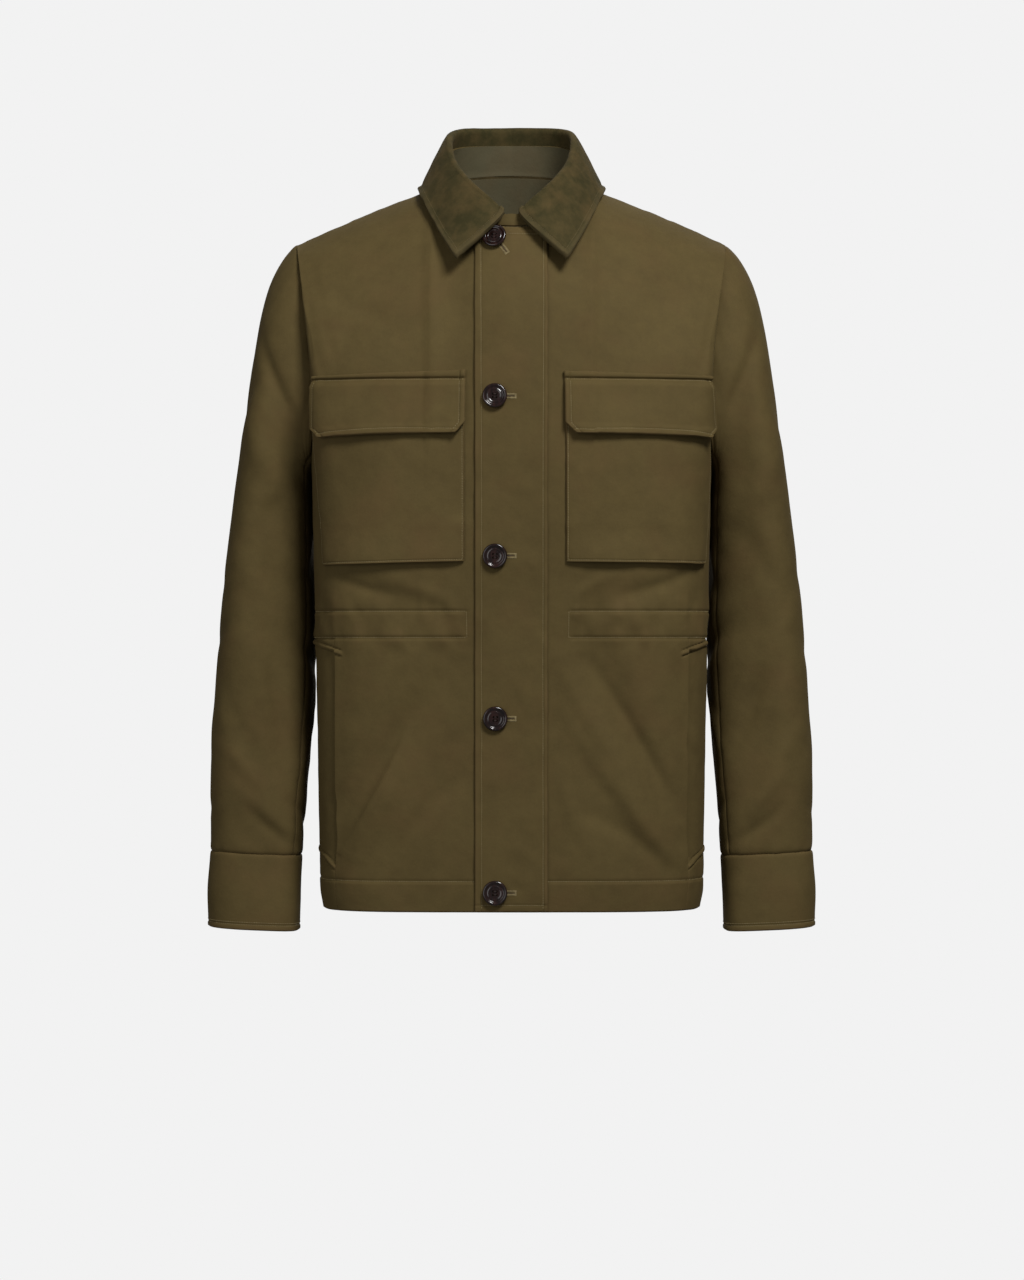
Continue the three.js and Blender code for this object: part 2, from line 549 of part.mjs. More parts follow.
// Closed wall between an outer and an inner grid.
// keep leaves cells out, wrap joins the last column to the first.
// mirrored turns the diagonals over, so that both halves of a symmetric piece match.
// trim draws back each border: first and last column, first and last row (a function of the column).
function shell(name, columns, rows, outer, inner, options = {}) {
  const { keep = () => true, wrap = false, mirrored = () => false } = options;
  const [cutFirst, cutLast, cutLow, cutHigh] = options.trim ?? [0, 0, () => 0, () => 0];
  const nc = columns.length;
  const nr = rows.length;
  const grids = [outer, inner].map((side) => columns.map((c) => rows.map((r) => side(c, r))));
  for (const grid of grids) {
    for (let j = 0; j < nr; j += 1) {
      if (cutFirst) grid[0][j] = pulled(grid[0][j], grid[1][j], cutFirst);
      if (cutLast) grid[nc - 1][j] = pulled(grid[nc - 1][j], grid[nc - 2][j], cutLast);
    }
    for (let i = 0; i < nc; i += 1) {
      grid[i][0] = pulled(grid[i][0], grid[i][1], cutLow(columns[i]));
      grid[i][nr - 1] = pulled(grid[i][nr - 1], grid[i][nr - 2], cutHigh(columns[i]));
    }
  }
  const cells = wrap ? nc : nc - 1;
  const inside = (i, j) => j >= 0 && j < nr - 1 && (wrap || (i >= 0 && i < cells));
  const kept = (i, j) => inside(i, j) && keep((i + cells) % cells, j);
  const positions = [];
  const rim = (a, b, c, d) => positions.push(...a, ...b, ...c, ...a, ...c, ...d);
  const quad = (i, a, b, c, d) => (mirrored(columns[i]) ? rim(b, c, d, a) : rim(a, b, c, d));
  const at = (layer, i, j) => grids[layer][i % nc][j];
  for (let i = 0; i < cells; i += 1) {
    for (let j = 0; j < nr - 1; j += 1) {
      if (!kept(i, j)) continue;
      quad(i, at(0, i, j), at(0, i + 1, j), at(0, i + 1, j + 1), at(0, i, j + 1));
      quad(i, at(1, i, j), at(1, i, j + 1), at(1, i + 1, j + 1), at(1, i + 1, j));
      if (!kept(i - 1, j)) rim(at(0, i, j), at(0, i, j + 1), at(1, i, j + 1), at(1, i, j));
      if (!kept(i + 1, j)) {
        rim(at(0, i + 1, j + 1), at(0, i + 1, j), at(1, i + 1, j), at(1, i + 1, j + 1));
      }
      if (!kept(i, j - 1)) quad(i, at(0, i + 1, j), at(0, i, j), at(1, i, j), at(1, i + 1, j));
      if (!kept(i, j + 1)) {
        quad(i, at(0, i, j + 1), at(0, i + 1, j + 1), at(1, i + 1, j + 1), at(1, i, j + 1));
      }
    }
  }
  return solid(name, positions);
}

// Mesh of a list of triangle corners, turned so that its faces point out.
function solid(name, positions) {
  let volume = 0;
  for (let i = 0; i < positions.length; i += 9) {
    const [a, b, c] = [0, 3, 6].map((k) => positions.slice(i + k, i + k + 3));
    volume += dot(a, cross(b, c));
  }
  const geometry = new THREE.BufferGeometry();
  geometry.setAttribute("position", new THREE.Float32BufferAttribute(positions, 3));
  const merged = mergeVertices(geometry, 1e-3);
  if (volume < 0) {
    const index = merged.index.array;
    for (let i = 0; i < index.length; i += 3) {
      [index[i + 1], index[i + 2]] = [index[i + 2], index[i + 1]];
    }
  }
  merged.computeVertexNormals();
  const mesh = new THREE.Mesh(merged, new THREE.MeshStandardMaterial());
  mesh.name = name;
  return mesh;
}

// Numbers from a to b in n equal steps.
function steps(a, b, n) {
  return Array.from({ length: n + 1 }, (_, i) => a + ((b - a) * i) / n);
}

// Rise of the torso at a level below the armholes.
const riseAt = (z) => (z - HEM_Z) / (JOIN_Z - HEM_Z);

const LOW_RISES = [
  ...[HEM_Z, -680, HEM_TURN_Z, -640, -612, -584, -556, -528, -500, -470].map(riseAt),
  ...[CASING_LOW_Z, CASING_TOP_Z, -384, -357, JOIN_Z].map(riseAt),
];
const RISES = [...LOW_RISES, ...steps(1, 2, 10).slice(1)];
const BACK_RISES = [
  ...[HEM_Z, HEM_TURN_Z, -620, -570, -520, -470, CASING_LOW_Z, CASING_TOP_Z, -372, JOIN_Z].map(riseAt),
  ...[1.12, 1.25, 1.38, 1.5, 1.62, 1.74, 1.83, 1.92, 2],
];
const NECK_SHARES = [0, 0.07, 0.14, 0.21, 0.27, 0.32, 0.348, NECK_SHARE];
const ARM_SHARES = [SHOULDER_SHARE, 0.61, POCKET_SHARE, 0.726, 0.79, 0.85, 0.9, 0.95, 1];
const SIDE_SHARES = ARM_SHARES.slice(3);
const HALF_SHARES = [...NECK_SHARES, 0.43, 0.5, ...ARM_SHARES];

// Turns round the neck that meet the torso's columns, from the centre front to the centre back.
const NECK_TURNS = NECK_SHARES.map((v) => (neckTurn(v) * 180) / Math.PI);
const HALF_TURNS = [...NECK_TURNS, ...NECK_TURNS.slice(0, -1).map((t) => 180 - t).reverse()];

// Turns round the sleeve that meet the torso's columns at the armhole.
const ARM_TURNS = ARM_SHARES.map((v) => armholeTurn(true, v));
const SEAM_FRONT = 6;
const SEAM_BACK = 5;

// Wall thickness of the torso: the hem is turned up.
const torsoWall = (rise) => (rise < riseAt(HEM_TURN_Z) - 0.001 ? HEM_WALL : WALL);

// Inner side of the torso wall, leaning to the shared direction along the armhole and shoulder seams.
function torsoInside(front, share, rise, depth = torsoWall(rise)) {
  const p = torso(front, share, rise);
  const v = Math.abs(share);
  if (rise < 2 || v < NECK_SHARE - 0.001) return sub(p, scale(torsoNormal(front, share, rise), depth));
  const side = share < 0 ? -1 : 1;
  const along = unit(sub(SHOULDER_POINT, SHOULDER_NECK));
  const seamIn = [side * along[2], 0, -along[0]];
  const inward = v > SHOULDER_SHARE - 0.001 ? armholeInward(side, armholeTurn(front, v)) : seamIn;
  return add(p, scale(inward, depth));
}

function torsoPiece(name, front, shares, rises, options) {
  const outer = (share, rise) => torso(front, share, rise);
  const inner = (share, rise) => torsoInside(front, share, rise);
  return shell(name, shares, rises, outer, inner, options);
}

// Front: notched below the casing, where the side panel fits.
function frontPiece(name, side) {
  const own = side < 0 ? [-LAP_SHARE, -0.07, ...HALF_SHARES] : [LAP_SHARE, ...HALF_SHARES.slice(3)];
  const shares = own.map((v) => v * side);
  const keep = (i, j) => {
    const far = Math.max(Math.abs(shares[i]), Math.abs(shares[i + 1])) > POCKET_SHARE + 0.001;
    return !(far && RISES[j + 1] < riseAt(CASING_LOW_Z) + 0.001);
  };
  const trim = [side < 0 ? 0 : GAP, 0, () => 0, () => 0];
  return torsoPiece(name, true, shares, RISES, { keep, trim });
}

function sidePanel(name, side) {
  const rises = LOW_RISES.filter((r) => r < riseAt(CASING_LOW_Z) + 0.001);
  const shares = SIDE_SHARES.map((v) => v * side);
  return torsoPiece(name, true, shares, rises, { trim: [GAP, 0, () => 0, () => GAP] });
}

const leftOfCentre = (share) => share < -1e-6;
const pastCentreBack = (turn) => turn > 180 - 1e-6;

function backPiece() {
  const shares = [...HALF_SHARES.slice(1).map((v) => -v).reverse(), ...HALF_SHARES];
  const shoulder = (v) => (Math.abs(v) > NECK_SHARE - 0.01 && Math.abs(v) < SHOULDER_SHARE + 0.01 ? GAP : 0);
  return torsoPiece("back", false, shares, BACK_RISES, {
    mirrored: leftOfCentre,
    trim: [GAP, GAP, () => 0, shoulder],
  });
}

// Strip on the inside of the torso wall, drawn back a little at its edges.
function innerStrip(name, front, shares, rises, wall) {
  const deep = (v, r, d) => sub(torso(front, v, r), scale(torsoNormal(front, v, r), d));
  const outer = (v, r) => deep(v, r, WALL + GAP);
  const inner = (v, r) => deep(v, r, WALL + GAP + wall);
  const mirrored = shares[0] * shares[shares.length - 1] < 0 ? leftOfCentre : () => false;
  return shell(name, shares, rises, outer, inner, { mirrored, trim: [1, 1, () => 1, () => 1] });
}

function casings() {
  const rises = [riseAt(CASING_LOW_Z), riseAt(CASING_TOP_Z)];
  const both = [...HALF_SHARES.slice(1).map((v) => -v).reverse(), ...HALF_SHARES].slice(1, -1);
  return [
    innerStrip("casing_front_right", true, HALF_SHARES.slice(3, -1).map((v) => -v), rises, WALL),
    innerStrip("casing_front_left", true, HALF_SHARES.slice(4, -1), rises, WALL),
    innerStrip("casing_back", false, both, rises, WALL),
  ];
}

// Sleeve pieces share their walls' direction with the torso at the armhole.
function sleevePiece(name, side, turns, stations, options) {
  const outer = (turn, along) => {
    if (along > 0) return sleeve(side, along, (turn + 360) % 360);
    const inward = armholeInward(side, (turn + 360) % 360);
    const p = sleeve(side, 0, (turn + 360) % 360);
    const go = sub(sleeve(side, 0.02, (turn + 360) % 360), p);
    const flat = unit(sub(go, scale(inward, dot(go, inward))));
    return add(p, scale(flat, 1.3 * GAP));
  };
  const inner = (turn, along) => {
    const t = (turn + 360) % 360;
    const p = outer(turn, along);
    if (along > 0) return sub(p, scale(sleeveNormal(side, along, t), WALL));
    return add(p, scale(armholeInward(side, t), WALL));
  };
  return shell(name, turns, stations, outer, inner, options);
}

const SLEEVE_STATIONS = [
  ...[0, 0.03, 0.07, 0.12, 0.16, 0.2, 0.25, 0.3, 0.36],
  ...[0.42, 0.48, 0.54, 0.6, 0.66, 0.72, 0.78, 0.84, 0.9, 0.95, 1],
];

function sleevePieces(word, side) {
  const behind = ARM_TURNS.map((t) => -t);
  const top = [...behind.slice(0, SEAM_BACK + 1).reverse(), ...ARM_TURNS.slice(1, SEAM_FRONT + 1)];
  const last = ARM_TURNS.slice(SEAM_FRONT);
  const under = [...last, ...behind.slice(SEAM_BACK, -1).map((t) => t + 360).reverse()];
  const whole = [...ARM_TURNS.slice(0, -1), ...ARM_TURNS.slice(1).map((t) => 360 - t).reverse()];
  const none = () => 0;
  const underTrim = [2.6 * GAP, 2 * GAP, none, none];
  return [
    sleevePiece("top_sleeve_" + word, side, top, SLEEVE_STATIONS),
    sleevePiece("under_sleeve_" + word, side, under, SLEEVE_STATIONS, { trim: underTrim }),
    sleevePiece("cuff_" + word, side, whole, [1, 1.012, 1.06, 1.105, CUFF_END], {
      wrap: true,
      trim: [0, 0, () => GAP, none],
    }),
  ];
}

function collarLeaf() {
  const turns = [COLLAR_START, ...HALF_TURNS.slice(1)];
  const full = [...turns, ...turns.slice(0, -1).map((t) => 360 - t).reverse()];
  const across = [0, 0.1, 0.2, 0.25, 0.3, 0.35, 0.4, 0.5, 0.62, 0.74, 0.87, 1];
  const outer = (t, a) => leaf(t, a);
  const inner = (t, a) => sub(leaf(t, a), scale(leafNormal(t, a), COLLAR_WALL));
  return shell("collar_leaf", full, across, outer, inner, { mirrored: pastCentreBack });
}

// Stand: a closed band, since its ends lap at the centre front.
function collarStand() {
  const half = [0, COLLAR_START, ...HALF_TURNS.slice(1)];
  const full = [...half, ...half.slice(1, -1).map((t) => 360 - t).reverse()];
  const outer = (t, u) => stand(t, u);
  const inner = (t, u) => sub(stand(t, u), scale(standNormal(t, u), COLLAR_WALL));
  const options = { wrap: true, mirrored: pastCentreBack, trim: [0, 0, () => 2 * GAP, () => GAP] };
  return shell("collar_stand", full, [0, 0.33, 0.67, 1], outer, inner, options);
}

// Facing of lining cloth inside the back neck.
function neckFacing() {
  const half = NECK_SHARES.slice(0, -2);
  const shares = [...half.slice(1).map((v) => -v).reverse(), ...half];
  return innerStrip("neck_facing", false, shares, BACK_RISES.slice(-4), LINING_WALL);
}

// Patch on the torso front from rows of the front view.
function patch(name, table, columns, between) {
  const row = (v) => {
    const i = Math.min(Math.floor(v), table.length - 2);
    const k = v - i;
    const pick = (key) => table[i][key] * (1 - k) + table[i + 1][key] * k;
    const outside = { outX: pick("outX"), outZ: pick("outZ") };
    return { ...outside, inX: pick("inX"), inZ: pick("inZ"), lift: pick("lift") };
  };
  const at = (u, v, extra) => {
    const r = row(v);
    return onFront(r.outX + (r.inX - r.outX) * u, r.outZ + (r.inZ - r.outZ) * u, r.lift + extra);
  };
  const rows = steps(0, table.length - 1, (table.length - 1) * between);
  return shell(name, steps(0, 1, columns), rows, (u, v) => at(u, v, WALL), (u, v) => at(u, v, 0));
}

function placket() {
  const { left, right, top, bottom } = PLACKET;
  const rows = [top, -60, -90, -120, -150, -185, -220, -255, -290, -330, -365, -395, -424, -450];
  rows.push(-475, -500, -525, -550, -575, -600, -622, -644, -666, -680, bottom);
  const at = (x, z, lift) => onFront(x, z, lift);
  const outer = (x, z) => at(x, z, PLACKET_LIFT + WALL);
  const inner = (x, z) => at(x, z, PLACKET_LIFT);
  return shell("placket", steps(left, right, 5), rows, outer, inner);
}

// Geometry of three.js as a solid to cut, and back.
function asManifold(geometry) {
  const bare = new THREE.BufferGeometry();
  bare.setAttribute("position", geometry.getAttribute("position"));
  bare.setIndex(geometry.index);
  const merged = mergeVertices(bare, 1e-4);
  const mesh = new wasm.Mesh({
    numProp: 3,
    vertProperties: merged.attributes.position.array,
    triVerts: new Uint32Array(merged.index.array),
  });
  return new wasm.Manifold(mesh);
}

function fromManifold(manifold) {
  const mesh = manifold.getMesh();
  const positions = [];
  for (const v of mesh.triVerts) {
    positions.push(...mesh.vertProperties.subarray(v * mesh.numProp, v * mesh.numProp + 3));
  }
  return positions;
}

// Four-hole button with a raised rim, its back at z = 0.
function buttonPositions() {
  const profile = BUTTON_PROFILE.map((p) => new THREE.Vector2(p.r, p.z));
  const blank = new THREE.LatheGeometry(profile, 16);
  blank.rotateX(Math.PI / 2);
  let body = asManifold(blank);
  const drill = new THREE.CylinderGeometry(BUTTON_HOLE_RADIUS, BUTTON_HOLE_RADIUS, 12, 6);
  drill.rotateX(Math.PI / 2);
  for (let i = 0; i < 4; i += 1) {
    const angle = rad(45 + 90 * i);
    const hole = drill.clone();
    hole.translate(BUTTON_HOLE_REACH * Math.cos(angle), BUTTON_HOLE_REACH * Math.sin(angle), 2);
    body = body.subtract(asManifold(hole));
  }
  return fromManifold(body);
}

function buttons() {
  const shape = buttonPositions();
  return BUTTONS.map((row, index) => {
    const seat = onFront(BUTTON_X, row.z, BUTTON_LIFT);
    const flat = onFront(BUTTON_X, row.z, BUTTON_LIFT + 1);
    const out = new THREE.Vector3(...sub(flat, seat)).normalize();
    const place = new THREE.Matrix4().makeTranslation(...seat);
    const face = new THREE.Quaternion().setFromUnitVectors(new THREE.Vector3(0, 0, 1), out);
    const tilt = new THREE.Matrix4().makeRotationFromEuler(new THREE.Euler(rad(row.nod), rad(row.swing), 0));
    const clear = BUTTON_SEAT_RADIUS * Math.sin(rad(Math.hypot(row.nod, row.swing)));
    const lift = new THREE.Matrix4().makeTranslation(0, 0, clear);
    place.multiply(new THREE.Matrix4().makeRotationFromQuaternion(face)).multiply(lift).multiply(tilt);
    const positions = [];
    for (let i = 0; i < shape.length; i += 3) {
      const p = new THREE.Vector3(shape[i], shape[i + 1], shape[i + 2]).applyMatrix4(place);
      positions.push(p.x, p.y, p.z);
    }
    return solid("button_" + (index + 1), positions);
  });
}

const jacket = new THREE.Group();
jacket.name = "field_jacket";
jacket.add(
  frontPiece("front_right", -1),
  frontPiece("front_left", 1),
  backPiece(),
  sidePanel("side_panel_right", -1),
  sidePanel("side_panel_left", 1),
  ...casings(),
  ...sleevePieces("right", -1),
  ...sleevePieces("left", 1),
  collarLeaf(),
  collarStand(),
  neckFacing(),
  placket(),
  patch("pocket_right", POCKET_RIGHT, 14, 2),
  patch("pocket_left", POCKET_LEFT, 14, 2),
  patch("flap_right", FLAP_RIGHT, 14, 2),
  patch("flap_left", FLAP_LEFT, 14, 2),
  ...buttons(),
);

export default jacket;
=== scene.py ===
"""Field jacket, buttoned, holding the form of a wearer who isn't there.

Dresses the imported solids: cloth panels with their creases, seams and topstitching,
buttons and buttonholes, the finishes, and a plain pale studio. Forms are worked out
in millimetres, with +X the wearer's left, -Y the front and +Z up, and meshes are
written in metres in the frame of the solids.
"""

import logging
import math
from collections.abc import Callable, Sequence
from dataclasses import dataclass, field
from enum import Enum
from itertools import product

import bpy
import numpy as np
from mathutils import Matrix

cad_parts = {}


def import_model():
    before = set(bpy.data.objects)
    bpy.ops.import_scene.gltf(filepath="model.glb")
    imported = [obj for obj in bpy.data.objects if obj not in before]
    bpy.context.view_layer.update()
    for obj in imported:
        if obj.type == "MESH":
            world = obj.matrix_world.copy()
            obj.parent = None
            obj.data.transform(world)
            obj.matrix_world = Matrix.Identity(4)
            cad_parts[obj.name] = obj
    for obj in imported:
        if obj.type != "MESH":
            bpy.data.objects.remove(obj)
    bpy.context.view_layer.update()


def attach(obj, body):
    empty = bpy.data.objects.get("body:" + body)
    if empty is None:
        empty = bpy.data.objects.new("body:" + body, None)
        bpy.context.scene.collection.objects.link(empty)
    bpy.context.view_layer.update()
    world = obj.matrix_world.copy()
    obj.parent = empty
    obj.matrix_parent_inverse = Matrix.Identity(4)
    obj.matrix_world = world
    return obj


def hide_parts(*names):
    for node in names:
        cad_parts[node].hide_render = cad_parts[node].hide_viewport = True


Array = np.ndarray

LOG = logging.getLogger("field_jacket")
MM = 0.001


class View(Enum):
    """Plain view in which a crease is laid out: the way towards its viewer."""

    FRONT = (0.0, -1.0)
    BACK = (0.0, 1.0)
    LEFT = (1.0, 0.0)
    RIGHT = (-1.0, 0.0)


class Side(Enum):
    """Side of the wearer."""

    RIGHT = -1
    LEFT = 1

    @property
    def word(self) -> str:
        """The side as it is written in a piece's name."""
        return self.name.lower()


class Rim(Enum):
    """Border of a grid: its first and last column, its lowest and highest row."""

    FIRST = 0
    LAST = 1
    LOW = 2
    HIGH = 3


# Sums on arrays of points


def unit(vectors: Array) -> Array:
    """Vectors at length one."""
    return vectors / np.maximum(np.linalg.norm(vectors, axis=-1, keepdims=True), 1e-9)


def soft_step(value: Array) -> Array:
    """Smooth rise from 0 to 1 as the value goes from 0 to 1."""
    k = np.clip(value, 0, 1)
    return k * k * (3 - 2 * k)


def flipped(points: Array) -> Array:
    """Points on the other side of the jacket."""
    return points * np.array([-1.0, 1.0, 1.0])


def hermite(start: Array, end: Array, leave: Array, arrive: Array, k: Array) -> Array:
    """Cubic between two points with given directions.

    Args:
        start: First points.
        end: Last points.
        leave: Direction and pull at the start.
        arrive: Direction and pull at the end.
        k: Share of the way, with a last axis of one.

    Returns:
        The points on the curves.
    """
    k2 = k * k
    k3 = k2 * k
    ends = start * (2 * k3 - 3 * k2 + 1) + end * (3 * k2 - 2 * k3)
    return ends + leave * (k3 - 2 * k2 + k) + arrive * (k3 - k2)


def lattice_noise(points: Array, seed: int) -> Array:
    """Smooth noise in space.

    Args:
        points: Places, counted in cells of the noise.
        seed: Which noise.

    Returns:
        Values from -1 to 1.
    """
    cell = np.floor(points).astype(np.int64)
    part = points - cell
    fade = part * part * (3 - 2 * part)
    total = np.zeros(points.shape[:-1])
    for corner in product((0, 1), repeat=3):
        at = cell + np.array(corner)
        mixed = at[..., 0] * 374761393 + at[..., 1] * 668265263 + at[..., 2] * 1440662683
        mixed = (mixed + seed * 1274126177) & 0xFFFFFFFF
        mixed = ((mixed ^ (mixed >> 13)) * 1274126177) & 0xFFFFFFFF
        mixed = mixed ^ (mixed >> 16)
        weight = np.prod(np.where(np.array(corner) == 1, fade, 1 - fade), axis=-1)
        total += (mixed / 2**31 - 1) * weight
    return total


def normals_of(surface: Callable[[Array, Array], Array], a: Array, b: Array, step: tuple[float, float]) -> Array:
    """Directions square to a surface, by small differences.

    Args:
        surface: Points for two arrays of parameters.
        a: First parameter.
        b: Second parameter.
        step: Half the difference in each.

    Returns:
        Directions of length one, whose sense the caller settles.
    """
    along_a = surface(a + step[0], b) - surface(a - step[0], b)
    along_b = surface(a, b + step[1]) - surface(a, b - step[1])
    return unit(np.cross(along_a, along_b))


@dataclass(frozen=True)
class SmoothTable:
    """Smooth curves through the columns of a table, over its first column."""

    rows: tuple[tuple[float, ...], ...]

    def at(self, key: Array) -> Array:
        """Values of the curves.

        Args:
            key: Places in the first column.

        Returns:
            One value for each further column, on a new last axis.
        """
        table = np.array(self.rows, float)
        keys, values = table[:, 0], table[:, 1:]
        last = len(keys) - 1
        before = np.maximum(np.arange(last + 1) - 1, 0)
        after = np.minimum(np.arange(last + 1) + 1, last)
        slopes = (values[after] - values[before]) / (keys[after] - keys[before])[:, None]
        key = np.asarray(key, float)
        i = np.clip(np.searchsorted(keys[1:], key, side="left"), 0, last - 1)
        span = (keys[i + 1] - keys[i])[..., None]
        k = np.clip((key - keys[i])[..., None] / span, 0, 1)
        return hermite(values[i], values[i + 1], span * slopes[i], span * slopes[i + 1], k)


# Creases and crumple


@dataclass(frozen=True)
class Crease:
    """Soft trough or ridge, laid out in a plain view from one end to the other."""

    view: View
    x0: float
    z0: float
    x1: float
    z1: float
    width: float
    height: float
    bow: float = 0.0

    def lift(self, points: Array, facing: Array) -> Array:
        """Height of the crease over a surface.

        Args:
            points: Places on the surface.
            facing: Directions out of the surface there.

        Returns:
            Heights in millimetres.
        """
        look = np.array([*self.view.value, 0.0])
        seen = soft_step((facing @ look - 0.1) / 0.45)
        across = points[..., 0] if self.view in (View.FRONT, View.BACK) else points[..., 1]
        dx, dz = self.x1 - self.x0, self.z1 - self.z0
        length = math.hypot(dx, dz)
        share = ((across - self.x0) * dx + (points[..., 2] - self.z0) * dz) / length**2
        k = np.clip(share, 0, 1)
        aside = ((across - self.x0) * dz - (points[..., 2] - self.z0) * dx) / length
        aside = aside - self.bow * 4 * k * (1 - k)
        off2 = (aside**2 + ((share - k) * length) ** 2) / self.width**2
        shape = (1 - 0.45 * off2) * np.exp(-0.85 * off2)
        return 1.5 * self.height * shape * (0.3 + 0.7 * np.sin(math.pi * k)) * seen


@dataclass(frozen=True)
class Crumple:
    """Uneven softness of worn cloth: a broad swell and a fine one."""

    broad: float = 0.75
    broad_size: float = 46.0
    fine: float = 0.16
    fine_size: float = 12.0
    seed: int = 3

    def lift(self, points: Array) -> Array:
        """Heights in millimetres at places on the surface."""
        slanted = points + np.stack([points[..., 2], points[..., 0], points[..., 1]], -1) * 0.35
        broad = lattice_noise(slanted / self.broad_size, self.seed)
        folded = 0.5 - np.abs(lattice_noise(slanted / (self.broad_size * 0.8), self.seed + 1))
        fine = lattice_noise(slanted / self.fine_size, self.seed + 2)
        return self.broad * (0.6 * broad + 0.6 * folded) + self.fine * fine


@dataclass(frozen=True)
class Fold:
    """Large fold of the solids, in the front or back view."""

    x0: float
    z0: float
    x1: float
    z1: float
    width: float
    height: float


def fold_height(folds: Sequence[Fold], x: Array, z: Array) -> Array:
    """Height of the large folds.

    Args:
        folds: The folds that count on this face.
        x: Places across the view.
        z: Places up the view.

    Returns:
        Heights in millimetres.
    """
    height = np.zeros(np.broadcast(x, z).shape)
    for fold in folds:
        dx, dz = fold.x1 - fold.x0, fold.z1 - fold.z0
        k = np.clip(((x - fold.x0) * dx + (z - fold.z0) * dz) / (dx * dx + dz * dz), 0, 1)
        off = np.hypot(x - fold.x0 - k * dx, z - fold.z0 - k * dz) / fold.width
        height = height + fold.height * np.exp(-off * off) * (0.35 + 0.65 * np.sin(math.pi * k))
    return height


# The three surfaces that every panel is cut from


